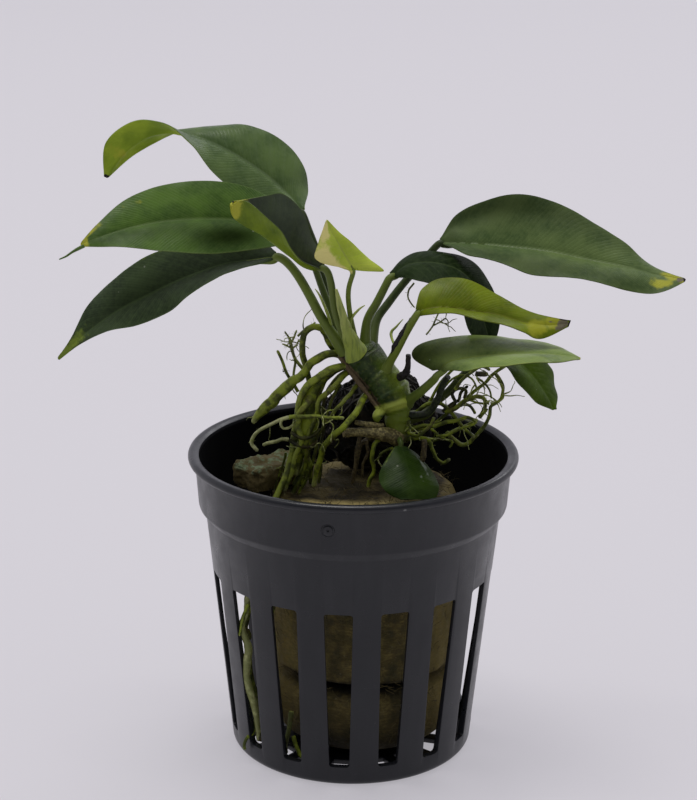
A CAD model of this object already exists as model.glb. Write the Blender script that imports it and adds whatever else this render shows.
"""A small anubias that grows on mineral wool in a black slotted net pot, shown in a plain pale studio.

Metres, +Z up. The pot stands on the floor at the origin, and the plant's front faces -Y.
Points and radii of the plant are written in millimetres and scaled by MM where they are used.
"""

import math
import random

import bmesh
import bpy
from mathutils import Matrix, Vector, noise


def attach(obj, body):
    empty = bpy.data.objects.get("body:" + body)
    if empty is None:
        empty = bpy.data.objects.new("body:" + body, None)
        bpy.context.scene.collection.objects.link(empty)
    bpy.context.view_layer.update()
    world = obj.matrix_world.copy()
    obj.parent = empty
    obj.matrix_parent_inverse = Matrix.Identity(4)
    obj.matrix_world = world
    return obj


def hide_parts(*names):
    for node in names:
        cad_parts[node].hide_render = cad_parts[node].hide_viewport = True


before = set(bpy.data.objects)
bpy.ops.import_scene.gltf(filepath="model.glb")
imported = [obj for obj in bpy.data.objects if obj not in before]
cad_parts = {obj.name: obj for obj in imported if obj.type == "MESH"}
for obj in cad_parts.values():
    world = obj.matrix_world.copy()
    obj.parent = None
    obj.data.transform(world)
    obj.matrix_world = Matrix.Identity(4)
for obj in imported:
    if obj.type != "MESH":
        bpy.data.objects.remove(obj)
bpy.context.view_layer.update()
MM = 0.001


# The studio: a pale floor that runs out of sight, a pale surround, and one wide soft light overhead
# with a weaker one behind. The camera stands in front and looks down a little, with a long lens.

CAMERA_PLACE = (-0.88 * MM, -352.2 * MM, 174.5 * MM)
CAMERA_PITCH = math.radians(90 - 17.8)
CAMERA_ROLL = math.radians(0.4)
CAMERA_LENS = 99.0
FLOOR_HALF = 6.0
SURROUND = (0.80, 0.785, 0.87)
SURROUND_FRONT = 0.24
SURROUND_BACK = 0.82
SURROUND_TOP = 0.62
FLOOR_COLOUR = (0.28, 0.272, 0.284)
FLOOR_GLOW = (0.80, 0.775, 0.83)
FLOOR_GLOW_STRENGTH = 0.47


def feed(tree, socket, source):
    """Links the source to the socket, or sets the socket to it if it is a plain value."""
    if isinstance(source, bpy.types.NodeSocket):
        tree.links.new(source, socket)
    else:
        socket.default_value = source


def calc(tree, operation, first, second=0.0, clamp=False):
    """One sum, such as ADD or POWER, of two values."""
    made = tree.nodes.new("ShaderNodeMath")
    made.operation = operation
    made.use_clamp = clamp
    feed(tree, made.inputs[0], first)
    feed(tree, made.inputs[1], second)
    return made.outputs[0]


def plus(tree, first, second):
    return calc(tree, "ADD", first, second)


def minus(tree, first, second):
    return calc(tree, "SUBTRACT", first, second)


def times(tree, first, second):
    return calc(tree, "MULTIPLY", first, second)


def mix(tree, factor, first, second):
    """One colour turning into the other as the factor goes from 0 to 1."""
    made = tree.nodes.new("ShaderNodeMix")
    made.data_type = "RGBA"
    feed(tree, made.inputs[0], factor)
    feed(tree, made.inputs[6], first)
    feed(tree, made.inputs[7], second)
    return made.outputs[2]


def step(tree, value, low, high, at_low=0.0, at_high=1.0):
    """A soft step of the value between low and high."""
    made = tree.nodes.new("ShaderNodeMapRange")
    made.interpolation_type = "SMOOTHSTEP"
    feed(tree, made.inputs["Value"], value)
    made.inputs["From Min"].default_value = low
    made.inputs["From Max"].default_value = high
    made.inputs["To Min"].default_value = at_low
    made.inputs["To Max"].default_value = at_high
    return made.outputs["Result"]


def rgb(red, green, blue):
    return (red, green, blue, 1.0)


def soft_light(name, place, target, size, watts, colour):
    lamp = bpy.data.lights.new(name, "AREA")
    lamp.shape = "DISK"
    lamp.size = size
    lamp.energy = watts
    lamp.color = colour
    holder = bpy.data.objects.new(name, lamp)
    holder.location = place
    holder.rotation_euler = (Vector(target) - Vector(place)).to_track_quat("-Z", "Y").to_euler()
    bpy.context.scene.collection.objects.link(holder)


camera = bpy.data.objects.new("camera", bpy.data.cameras.new("camera"))
camera.data.lens = CAMERA_LENS
camera.data.clip_start = 0.01
camera.matrix_world = (Matrix.Translation(CAMERA_PLACE) @ Matrix.Rotation(CAMERA_PITCH, 4, "X")
                       @ Matrix.Rotation(CAMERA_ROLL, 4, "Z"))
bpy.context.scene.collection.objects.link(camera)
bpy.context.scene.camera = camera
bpy.context.scene.view_settings.view_transform = "Standard"

surround = bpy.data.worlds.new("pale surround")
surround.use_nodes = True
tree = surround.node_tree
background = tree.nodes["Background"]
background.inputs["Color"].default_value = rgb(*SURROUND)
coordinates = tree.nodes.new("ShaderNodeTexCoord")
direction = tree.nodes.new("ShaderNodeSeparateXYZ")
tree.links.new(coordinates.outputs["Generated"], direction.inputs[0])
level = step(tree, direction.outputs["Y"], -0.9, 0.3, SURROUND_FRONT, SURROUND_BACK)
overhead = step(tree, direction.outputs["Z"], 0.4, 1.0)
level = plus(tree, times(tree, level, minus(tree, 1.0, overhead)), times(tree, overhead, SURROUND_TOP))
feed(tree, background.inputs["Strength"], level)
bpy.context.scene.world = surround

soft_light("overhead", (-0.12, 0.12, 1.60), (0.0, 0.0, 0.06), 0.75, 11.0, (1.0, 0.985, 0.96))
soft_light("behind", (0.9, 1.5, 1.3), (0.0, 0.2, 0.0), 0.9, 5.0, (0.96, 0.97, 1.0))

bm = bmesh.new()
bmesh.ops.create_grid(bm, x_segments=2, y_segments=2, size=FLOOR_HALF)
floor_mesh = bpy.data.meshes.new("studio_floor")
bm.to_mesh(floor_mesh)
bm.free()
studio_floor = bpy.data.objects.new("studio_floor", floor_mesh)
bpy.context.scene.collection.objects.link(studio_floor)
floor_finish = bpy.data.materials.new("studio floor")
floor_finish.use_nodes = True
floor_shader = floor_finish.node_tree.nodes["Principled BSDF"]
floor_shader.inputs["Base Color"].default_value = rgb(*FLOOR_COLOUR)
floor_shader.inputs["Emission Color"].default_value = rgb(*FLOOR_GLOW)
floor_shader.inputs["Emission Strength"].default_value = FLOOR_GLOW_STRENGTH
floor_shader.inputs["Roughness"].default_value = 0.75
floor_shader.inputs["Specular IOR Level"].default_value = 0.2
floor_mesh.materials.append(floor_finish)


# The net pot is one piece of injection moulded black plastic, satin outside, with a rolled lip and
# a stepped collar. Sixteen slots taper down its wall, and a ring of openings lets water into the
# base. A small round gate mark from the mould shows at the front of the collar.

BASE_RADIUS = 20.8
BASE_EDGE = 1.3
BODY_RADIUS = 25.05
BODY_TOP = 42.4
COLLAR_FOOT_RADIUS = 26.25
COLLAR_FOOT = 43.9
COLLAR_RADIUS = 26.8
LIP_RADIUS = 27.97
LIP_TOP = 52.7
LIP_DEPTH = 1.4
WALL = 0.7
POT_FLOOR = 1.2
POT_SEGMENTS = 192
SLOTS = 16
FIRST_SLOT = math.radians(-95.5)
SLOT_BOTTOM = 3.6
SLOT_TOP = 32.5
SLOT_WIDTH_BOTTOM = 3.4
SLOT_WIDTH_TOP = 4.8
SLOT_CORNER = 0.55
BASE_OPENING_INNER = 13.4
BASE_OPENING_OUTER = 17.6
BASE_RIB = 2.0
GATE_ANGLE = math.radians(-98.7)
GATE_HEIGHT = 48.0
GATE_RADIUS = 0.95
NICK_PLACE = (8.3 * MM, -27.1 * MM, 51.6 * MM)
EDGE_SOFTNESS = 0.16 * MM
SAME_POINT = 0.001 * MM


def cloud(tree, place, size, detail=4.0, roughness=0.55):
    """Noise whose patches have about this size, in millimetres."""
    made = tree.nodes.new("ShaderNodeTexNoise")
    feed(tree, made.inputs["Vector"], place)
    made.inputs["Scale"].default_value = 1 / (size * MM)
    made.inputs["Detail"].default_value = detail
    made.inputs["Roughness"].default_value = roughness
    return made.outputs["Fac"]


def patchy(tree, place, size, low, high, at_low=0.0, at_high=1.0, **noise_options):
    """Soft patches of about this size, in millimetres, cut out of the noise between low and high."""
    return step(tree, cloud(tree, place, size, **noise_options), low, high, at_low, at_high)


def object_place(tree, stretch=(1.0, 1.0, 1.0)):
    """Object coordinates, stretched so that a pattern gets longer on one axis."""
    coordinates = tree.nodes.new("ShaderNodeTexCoord")
    mapping = tree.nodes.new("ShaderNodeMapping")
    mapping.inputs["Scale"].default_value = [1 / axis for axis in stretch]
    tree.links.new(coordinates.outputs["Object"], mapping.inputs["Vector"])
    return mapping.outputs["Vector"]


def new_group(name, inputs, outputs):
    """An empty shader group with its sockets, its input node and its output node."""
    group = bpy.data.node_groups.new(name, "ShaderNodeTree")
    for label, kind, value in inputs:
        socket = group.interface.new_socket(label, in_out="INPUT", socket_type=f"NodeSocket{kind}")
        if value is not None:
            socket.default_value = value
    for label, kind in outputs:
        group.interface.new_socket(label, in_out="OUTPUT", socket_type=f"NodeSocket{kind}")
    return group, group.nodes.new("NodeGroupInput").outputs, group.nodes.new("NodeGroupOutput").inputs


def use_group(tree, group, **sources):
    """Places the group in a tree. A source's name is its input's, with _ for a space."""
    made = tree.nodes.new("ShaderNodeGroup")
    made.node_tree = group
    for label, source in sources.items():
        feed(tree, made.inputs[label.replace("_", " ")], source)
    return made.outputs


def speck_group():
    """Small round specks, scattered: only some cells of a pattern hold one."""
    inputs = (("Place", "Vector", None), ("Scale", "Float", 800.0), ("Share", "Float", 0.2),
              ("Size", "Float", 0.2))
    group, given, result = new_group("specks", inputs, (("Mask", "Float"),))
    cells = group.nodes.new("ShaderNodeTexVoronoi")
    group.links.new(given["Place"], cells.inputs["Vector"])
    group.links.new(given["Scale"], cells.inputs["Scale"])
    cell_value = group.nodes.new("ShaderNodeSeparateColor")
    group.links.new(cells.outputs["Color"], cell_value.inputs["Color"])
    chosen = calc(group, "LESS_THAN", cell_value.outputs["Red"], given["Share"])
    reach = times(group, given["Size"], cell_value.outputs["Green"])
    near = minus(group, reach, cells.outputs["Distance"])
    spot = calc(group, "MULTIPLY", near, 30.0, clamp=True)
    group.links.new(times(group, chosen, spot), result["Mask"])
    return group


specks = speck_group()


def speckles(tree, place, scale, share, size):
    """Specks in this share of the cells. The scale is the number of cells in a metre."""
    return use_group(tree, specks, Place=place, Scale=scale, Share=share, Size=size)["Mask"]


def new_material(name, roughness, specular=0.5):
    """A material with its tree and its Principled shader."""
    made = bpy.data.materials.new(name)
    made.use_nodes = True
    shader = made.node_tree.nodes["Principled BSDF"]
    shader.inputs["Roughness"].default_value = roughness
    shader.inputs["Specular IOR Level"].default_value = specular
    return made, made.node_tree, shader


def bump(tree, shader, height, depth, strength=1.0):
    """Relief of this depth in millimetres, where the height runs from 0 to 1."""
    made = tree.nodes.new("ShaderNodeBump")
    made.inputs["Strength"].default_value = strength
    made.inputs["Distance"].default_value = depth * MM
    feed(tree, made.inputs["Height"], height)
    tree.links.new(made.outputs["Normal"], shader.inputs["Normal"])


def add_piece(name, bm, finish, sharp=40, nodes=()):
    """Puts a finished bmesh in the scene as a piece that stands for these nodes."""
    mesh = bpy.data.meshes.new(name)
    bm.to_mesh(mesh)
    bm.free()
    mesh.materials.append(finish)
    mesh.shade_smooth()
    mesh.set_sharp_from_angle(angle=math.radians(sharp))
    piece = bpy.data.objects.new(name, mesh)
    bpy.context.scene.collection.objects.link(piece)
    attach(piece, "root")
    if nodes:
        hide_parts(*nodes)
    return piece


def turned(profile, segments):
    """The closed surface that a profile of (radius, height) points sweeps round the Z axis."""
    bm = bmesh.new()
    verts = [bm.verts.new((radius * MM, 0.0, height * MM)) for radius, height in profile]
    edges = [bm.edges.new(pair) for pair in zip(verts, verts[1:])]
    bmesh.ops.spin(bm, geom=verts + edges, cent=(0, 0, 0), axis=(0, 0, 1), angle=math.tau, steps=segments,
                   use_merge=True)
    bmesh.ops.remove_doubles(bm, verts=bm.verts, dist=SAME_POINT)
    bmesh.ops.recalc_face_normals(bm, faces=bm.faces)
    return bm


def arc(centre, radius, first, last, steps):
    """Points on an arc of a profile, between two angles in degrees."""
    points = []
    for index in range(steps + 1):
        angle = math.radians(first + (last - first) * index / steps)
        points.append((centre[0] + radius * math.cos(angle), centre[1] + radius * math.sin(angle)))
    return points


def wall_radius(height):
    """Outer radius of the pot's tapering body at this height."""
    return BASE_RADIUS + (BODY_RADIUS - BASE_RADIUS) * (height - BASE_EDGE) / (BODY_TOP - BASE_EDGE)


def pot_profile():
    """From the middle of the underside, up the outside, over the rolled lip and down the inside."""
    lip = LIP_DEPTH / 2
    foot_ring = [(0.0, 0.35), (BASE_RADIUS - 4.0, 0.35), (BASE_RADIUS - 3.6, 0.0)]
    outside = foot_ring + arc((BASE_RADIUS - BASE_EDGE, BASE_EDGE), BASE_EDGE, -90, 0, 8)
    outside += [(wall_radius(14), 14), (wall_radius(28), 28)]
    outside += [(BODY_RADIUS, BODY_TOP - 0.15), (BODY_RADIUS + 0.12, BODY_TOP + 0.08)]
    outside += [(COLLAR_FOOT_RADIUS - 0.1, COLLAR_FOOT - 0.25), (COLLAR_FOOT_RADIUS, COLLAR_FOOT + 0.1)]
    outside += [(COLLAR_RADIUS - 0.02, LIP_TOP - LIP_DEPTH - 0.3),
                (COLLAR_RADIUS + 0.16, LIP_TOP - LIP_DEPTH)]
    outside += arc((LIP_RADIUS - lip, LIP_TOP - lip), lip, -75, 95, 12)
    inside = [(COLLAR_RADIUS - 0.25, LIP_TOP - 0.12), (COLLAR_RADIUS - 0.65, LIP_TOP - 0.45),
              (COLLAR_RADIUS - WALL, LIP_TOP - 1.2), (COLLAR_FOOT_RADIUS - WALL, COLLAR_FOOT),
              (BODY_RADIUS - WALL, BODY_TOP - WALL / 2), (wall_radius(20) - WALL, 20),
              (wall_radius(POT_FLOOR) - WALL - 0.5, POT_FLOOR + 0.25),
              (wall_radius(POT_FLOOR) - WALL - 1.1, POT_FLOOR), (0.0, POT_FLOOR)]
    return outside + inside


def pot_openings():
    """Every wedge that is cut from the pot: the wall's slots, with rounded corners, and the base's ring."""
    bm = bmesh.new()
    half = math.pi / SLOTS
    for index in range(SLOTS):
        turn = Matrix.Rotation(FIRST_SLOT + math.tau * index / SLOTS, 3, "Z")
        slot = bmesh.ops.create_cube(bm, size=1.0)["verts"]
        for vert in slot:
            high = vert.co.z > 0
            vert.co.x = wall_radius(SLOT_TOP) + 4 if vert.co.x > 0 else wall_radius(SLOT_BOTTOM) - 4
            vert.co.y *= SLOT_WIDTH_TOP if high else SLOT_WIDTH_BOTTOM
            vert.co.z = SLOT_TOP if high else SLOT_BOTTOM
        corners = {edge for vert in slot for edge in vert.link_edges if abs(edge.verts[0].co.x
                                                                            - edge.verts[1].co.x) > 1}
        rounded = bmesh.ops.bevel(bm, geom=list(corners), offset=SLOT_CORNER, segments=4, profile=0.5,
                                  affect="EDGES", material=-1)
        slot = {vert for face in rounded["faces"] for vert in face.verts}
        block = bmesh.ops.create_cube(bm, size=1.0)["verts"]
        for vert in block:
            radius = BASE_OPENING_OUTER if vert.co.x > 0 else BASE_OPENING_INNER
            vert.co.y = math.copysign(radius * math.tan(half) - BASE_RIB / 2, vert.co.y)
            vert.co.x = radius
            vert.co.z *= 4 * POT_FLOOR
        bmesh.ops.rotate(bm, verts=list(slot) + block, cent=(0, 0, 0), matrix=turn)
    return bm


def gate_mark():
    """A shallow ring with a pit in its middle, to be cut from the collar."""
    bm = bmesh.new()
    radius = COLLAR_FOOT_RADIUS + (COLLAR_RADIUS - COLLAR_FOOT_RADIUS) * 0.55
    ring = bmesh.ops.create_circle(bm, segments=12, radius=0.2)["verts"]
    bmesh.ops.translate(bm, verts=ring, vec=(GATE_RADIUS, 0, 0))
    bmesh.ops.rotate(bm, verts=ring, cent=(0, 0, 0), matrix=Matrix.Rotation(math.pi / 2, 3, "X"))
    bmesh.ops.spin(bm, geom=bm.edges[:], cent=(0, 0, 0), axis=(0, 0, 1), angle=math.tau, steps=28,
                   use_merge=True)
    bmesh.ops.remove_doubles(bm, verts=bm.verts, dist=0.001)
    bmesh.ops.create_icosphere(bm, subdivisions=2, radius=0.24)
    bmesh.ops.recalc_face_normals(bm, faces=bm.faces)
    upright = Matrix.Rotation(math.pi / 2, 4, "Y")
    place = Matrix.Rotation(GATE_ANGLE, 4, "Z") @ Matrix.Translation((radius + 0.06, 0, GATE_HEIGHT))
    bmesh.ops.transform(bm, matrix=place @ upright, verts=bm.verts)
    return bm


def cut_away(piece, name, bm):
    """Cuts the shape, given in millimetres, out of the piece's mesh for good."""
    bmesh.ops.scale(bm, vec=(MM, MM, MM), verts=bm.verts)
    bmesh.ops.recalc_face_normals(bm, faces=bm.faces)
    mesh = bpy.data.meshes.new(name)
    bm.to_mesh(mesh)
    bm.free()
    cutter = bpy.data.objects.new(name, mesh)
    bpy.context.scene.collection.objects.link(cutter)
    knife = piece.modifiers.new(name, "BOOLEAN")
    knife.operation = "DIFFERENCE"
    knife.solver = "EXACT"
    knife.object = cutter
    settle(piece)
    bpy.data.objects.remove(cutter)


def settle(piece):
    """Makes the piece's modifiers part of its mesh."""
    graph = bpy.context.evaluated_depsgraph_get()
    mesh = bpy.data.meshes.new_from_object(piece.evaluated_get(graph))
    piece.modifiers.clear()
    piece.data = mesh


def reading(tree, label):
    """The value that the mesh's points carry under this name."""
    made = tree.nodes.new("ShaderNodeAttribute")
    made.attribute_name = label
    return made.outputs["Fac"]


def pot_plastic():
    """Satin black with dust, fine scratches, mould grain and one pale nick; dull and darker inside."""
    finish, tree, shader = new_material("pot plastic", 0.34, 0.42)
    place = object_place(tree)
    streaks = cloud(tree, object_place(tree, (1, 1, 5)), 2.2)
    shade = mix(tree, step(tree, streaks, 0.35, 0.75), rgb(0.0055, 0.0065, 0.0095),
                rgb(0.0092, 0.0104, 0.0138))
    dust = speckles(tree, place, 520.0, 0.10, 0.11)
    grit = speckles(tree, place, 240.0, 0.08, 0.09)
    scratch_field = cloud(tree, object_place(tree, (4, 4, 0.5)), 1.6, detail=2.0)
    scratch_line = calc(tree, "ABSOLUTE", minus(tree, scratch_field, 0.62))
    scratches = step(tree, scratch_line, 0.0, 0.006, 1.0, 0.0)
    patches = patchy(tree, place, 7.0, 0.56, 0.66)
    scratches = times(tree, scratches, patches)
    marks = calc(tree, "MAXIMUM", dust, grit)
    marks = calc(tree, "MAXIMUM", marks, times(tree, scratches, 0.5))
    shade = mix(tree, times(tree, marks, 0.45), shade, rgb(0.16, 0.16, 0.17))
    from_nick = tree.nodes.new("ShaderNodeVectorMath")
    from_nick.operation = "DISTANCE"
    from_nick.inputs[1].default_value = NICK_PLACE
    tree.links.new(object_place(tree), from_nick.inputs[0])
    nick = step(tree, from_nick.outputs["Value"], 0.25 * MM, 0.6 * MM, 1.0, 0.0)
    shade = mix(tree, nick, shade, rgb(0.42, 0.42, 0.40))
    inside = reading(tree, "inside")
    shade = mix(tree, inside, shade, rgb(0.0015, 0.0016, 0.002))
    feed(tree, shader.inputs["Base Color"], shade)
    rough = patchy(tree, place, 3.5, 0.3, 0.7, 0.27, 0.38)
    rough = plus(tree, rough, times(tree, inside, 0.5))
    feed(tree, shader.inputs["Specular IOR Level"], step(tree, inside, 0.0, 1.0, 0.42, 0.05))
    feed(tree, shader.inputs["Roughness"], plus(tree, rough, times(tree, marks, 0.2)))
    grain = plus(tree, cloud(tree, place, 0.18), times(tree, cloud(tree, place, 3.0), 1.5))
    bump(tree, shader, grain, 0.03, 0.5)
    return finish


def mark_inside(mesh):
    """Lets each point of the pot carry 1 where it faces inwards and lies under the lip."""
    inside = mesh.attributes.new("inside", "FLOAT", "POINT")
    for vert in mesh.vertices:
        outwards = Vector((vert.co.x, vert.co.y, 0)).normalized()
        faces_in = vert.normal.dot(outwards) < -0.3 and vert.co.z < (LIP_TOP - 0.8) * MM
        inside.data[vert.index].value = 1.0 if faces_in else 0.0


net_pot = add_piece("net_pot_moulded", turned(pot_profile(), POT_SEGMENTS), pot_plastic(),
                    nodes=("net_pot",))
cut_away(net_pot, "pot openings", pot_openings())
cut_away(net_pot, "gate mark", gate_mark())
soft_edges = net_pot.modifiers.new("soft edges", "BEVEL")
soft_edges.width = EDGE_SOFTNESS
soft_edges.segments = 2
soft_edges.limit_method = "ANGLE"
soft_edges.angle_limit = math.radians(50)
settle(net_pot)
mark_inside(net_pot.data)
net_pot.data.shade_smooth()
net_pot.data.set_sharp_from_angle(angle=math.radians(45))


# The growing medium is a plug of wet mineral wool, cut across near its foot, so that a dark seam
# shows between its two parts. It stands loose in the pot, nearer to the right side, and its top
# is worn, with grey-green algae on a raised corner at the left and along the front.

PLUG_X = 2.0
PLUG_RADIUS = 16.05
PLUG_FLOOR = 1.7
SEAM = 15.3
SEAM_HALF = 0.55
PLUG_TOP = 46.3
PLUG_SEGMENTS = 150
PLUG_ROW = 0.42
PLUG_LUMPS = (5 * MM, 0.42 * MM)
PLUG_PITS = (1.1 * MM, 0.16 * MM)
PLUG_LAYERS = 0.6
PLUG_PROUD = 0.3 * MM
CORNER_CENTRE = Vector((-13.9, -1.3, 48.95)) * MM
CORNER_SIZE = Vector((6.9, 11.8, 4.6)) * MM
CORNER_TURN = math.radians(-50)
CORNER_HOLE = Vector((-16.3, -7.0, 50.0)) * MM
CORNER_HOLE_RADIUS = 0.7 * MM
CORNER_HOLE_DEPTH = 1.1 * MM
CORNER_LUMPS = (3.6 * MM, 0.7 * MM)
CORNER_PITS = (0.9 * MM, 0.25 * MM)
CORNER_PROUD = 0.5 * MM
TOP_STARTS = (45.6, 46.4)
CORNER_STARTS = (47.0, 47.6)
ALGAE_STARTS = (50.0, 50.9)
FRONT_EDGE = (-15.0, -11.5)
SIDES_START = (8, 12)
SHADE_BEHIND = (-8.5, -4.5)
FOOT_SHADE = (3.0, 15)
SEAM_SHADE = (0.7, 1.9)
FIBRES = 1500
FIBRE_RADIUS = 0.045
fibre_dice = random.Random(11)


def on_curve(rows, share):
    """The point at this share, 0 to 1, of the smooth curve through the rows of numbers."""
    spans = len(rows) - 1
    place = share * spans
    span = min(int(place), spans - 1)
    t = place - span
    before = rows[max(span - 1, 0)]
    after = rows[min(span + 2, spans)]
    point = []
    for a, b, c, d in zip(before, rows[span], rows[span + 1], after):
        point.append(0.5 * (2 * b + (c - a) * t + (2 * a - 5 * b + 4 * c - d) * t**2
                            + (3 * b - a - 3 * c + d) * t**3))
    return point


def tube_into(bm, rows, rings, sides, shape=None):
    """Adds a tube along the smooth curve through rows of x, y, z and radius, in millimetres.

    It is a grid rolled round the curve. Each point keeps how far along the tube it is, and on which
    side: 1 on top, -1 underneath. The shape, if there is one, gives the radius another factor.
    """
    along = bm.verts.layers.float.get("along") or bm.verts.layers.float.new("along")
    topside = bm.verts.layers.float.get("topside") or bm.verts.layers.float.new("topside")
    verts = bmesh.ops.create_grid(bm, x_segments=rings, y_segments=sides, size=1.0)["verts"]
    frames = {}
    normal = None
    for key in sorted({round(vert.co.x, 5) for vert in verts}):
        share = (key + 1) / 2
        row = on_curve(rows, share)
        ahead = Vector(on_curve(rows, min(share + 0.01, 1.0))[:3])
        behind = Vector(on_curve(rows, max(share - 0.01, 0.0))[:3])
        tangent = (ahead - behind).normalized()
        if normal is None:
            normal = Vector((0, 0, 1)) if abs(tangent.z) < 0.9 else Vector((0, 1, 0))
        normal = (normal - tangent * normal.dot(tangent)).normalized()
        frames[key] = (share, Vector(row[:3]), row[3], normal, normal.cross(tangent))
    for vert in verts:
        share, middle, radius, up, aside = frames[round(vert.co.x, 5)]
        angle = math.pi * (vert.co.y + 1)
        if shape:
            radius *= shape(share, angle)
        vert[along] = share
        vert[topside] = math.cos(angle)
        vert.co = MM * (middle + radius * (math.cos(angle) * up + math.sin(angle) * aside))
    return verts


def close_tubes(bm):
    """Joins each tube along its seam and closes its ends."""
    bmesh.ops.remove_doubles(bm, verts=bm.verts, dist=SAME_POINT)
    bmesh.ops.holes_fill(bm, edges=[edge for edge in bm.edges if edge.is_boundary], sides=0)


def rugged(place, size, depth):
    """A height from three sizes of noise at this place."""
    return depth * (noise.noise(place / size) + 0.5 * noise.noise(place / (0.45 * size)) + 0.3
                    * noise.noise(place / (0.2 * size)))


def wool_plug(name, bottom, top, bottom_edge, top_edge, finish, node):
    """A round plug with worn edges and the lumps, pits and layers of torn wool on its side."""
    profile = [(0.0, bottom)]
    reach = 2.0
    while reach < PLUG_RADIUS - bottom_edge[0][1]:
        profile.append((reach, bottom))
        reach += 1.6
    for distance, inset in bottom_edge:
        profile.append((PLUG_RADIUS - inset, bottom + distance))
    height = profile[-1][1] + PLUG_ROW
    while height < top - top_edge[0][0]:
        profile.append((PLUG_RADIUS, height))
        height += PLUG_ROW
    for distance, inset in top_edge:
        profile.append((PLUG_RADIUS - inset, top - distance))
    reach = profile[-1][0] - 0.5
    while reach > 0.4:
        profile.append((reach, top))
        reach -= 0.5
    profile.append((0.0, top))
    bm = turned(profile, PLUG_SEGMENTS)
    bm.normal_update()
    for vert in bm.verts:
        layered = Vector((vert.co.x, vert.co.y, vert.co.z * PLUG_LAYERS))
        depth = rugged(layered, *PLUG_LUMPS) - abs(rugged(layered, *PLUG_PITS))
        if vert.normal.z < -0.5:
            depth = 0.0
        vert.co += vert.normal * min(depth, PLUG_PROUD)
    bmesh.ops.translate(bm, verts=bm.verts, vec=(PLUG_X * MM, 0, 0))
    return add_piece(name, bm, finish, nodes=(node,))


def reach_step(tree, distance, ends, at_low=0.0, at_high=1.0):
    """A soft step of a distance between two ends, in millimetres."""
    return step(tree, distance, ends[0] * MM, ends[1] * MM, at_low, at_high)


def wool_finish():
    """Wet fibres from ochre to nearly black: darker by the seam, lower down and behind, and pale on the
    flat top, with grey-green algae on the raised corner and along the front."""
    finish, tree, shader = new_material("mineral wool", 0.86, 0.3)
    place = object_place(tree)
    upright = object_place(tree, (1, 1, 2.4))
    shade = mix(tree, patchy(tree, upright, 5.5, 0.36, 0.66), rgb(0.060, 0.050, 0.018),
                rgb(0.200, 0.160, 0.045))
    shade = mix(tree, patchy(tree, place, 2.4, 0.42, 0.7, 0.0, 0.75), shade, rgb(0.26, 0.20, 0.065))
    shade = mix(tree, patchy(tree, upright, 9.0, 0.52, 0.7, 0.0, 0.6), shade, rgb(0.050, 0.060, 0.018))
    threads = cloud(tree, object_place(tree, (3, 3, 1)), 0.35, detail=6.0, roughness=0.7)
    shade = mix(tree, step(tree, threads, 0.42, 0.62, 0.45, 0.0), shade, rgb(0.028, 0.022, 0.008))
    grit = speckles(tree, place, 1500.0, 0.14, 0.35)
    shade = mix(tree, times(tree, grit, 0.5), shade, rgb(0.20, 0.17, 0.09))
    parts = tree.nodes.new("ShaderNodeSeparateXYZ")
    tree.links.new(place, parts.inputs[0])
    height = parts.outputs["Z"]
    from_seam = calc(tree, "ABSOLUTE", minus(tree, height, SEAM * MM))
    seam_dark = reach_step(tree, from_seam, SEAM_SHADE, 0.9, 0.0)
    shade = mix(tree, seam_dark, shade, rgb(0.006, 0.0055, 0.003))
    foot_dark = reach_step(tree, height, FOOT_SHADE, 0.8, 0.0)
    shade = mix(tree, foot_dark, shade, rgb(0.010, 0.008, 0.004))
    top_only = reach_step(tree, height, TOP_STARTS)
    sides = reach_step(tree, calc(tree, "ABSOLUTE", parts.outputs["X"]), SIDES_START)
    shade = mix(tree, times(tree, sides, 0.4), shade, rgb(0.36, 0.28, 0.09))
    flat_top = times(tree, top_only, reach_step(tree, height, CORNER_STARTS, 1.0, 0.0))
    shade = mix(tree, times(tree, flat_top, 0.85), shade, rgb(0.58, 0.46, 0.17))
    ragged_depth = plus(tree, parts.outputs["Y"], times(tree, cloud(tree, place, 3.0), 4 * MM))
    behind = reach_step(tree, ragged_depth, SHADE_BEHIND, 0.0, 0.95)
    shade = mix(tree, times(tree, behind, flat_top), shade, rgb(0.008, 0.006, 0.003))
    block = reach_step(tree, height, CORNER_STARTS)
    shade = mix(tree, times(tree, block, 0.55), shade, rgb(0.065, 0.048, 0.018))
    corner_top = reach_step(tree, height, ALGAE_STARTS)
    at_front = reach_step(tree, parts.outputs["Y"], FRONT_EDGE, 1.0, 0.0)
    algae_field = patchy(tree, place, 1.7, 0.47, 0.6, detail=6.0, roughness=0.65)
    algae = times(tree, algae_field, calc(tree, "MAXIMUM", corner_top, times(tree, top_only, at_front)))
    algae_tone = mix(tree, cloud(tree, place, 0.7), rgb(0.12, 0.19, 0.075), rgb(0.27, 0.35, 0.21))
    shade = mix(tree, times(tree, algae, 0.85), shade, algae_tone)
    feed(tree, shader.inputs["Base Color"], shade)
    feed(tree, shader.inputs["Roughness"], patchy(tree, place, 1.2, 0.3, 0.7, 0.7, 0.95))
    relief = plus(tree, times(tree, threads, 1.2), cloud(tree, place, 0.9, detail=8.0))
    bump(tree, shader, relief, 0.22, 0.9)
    return finish


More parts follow.
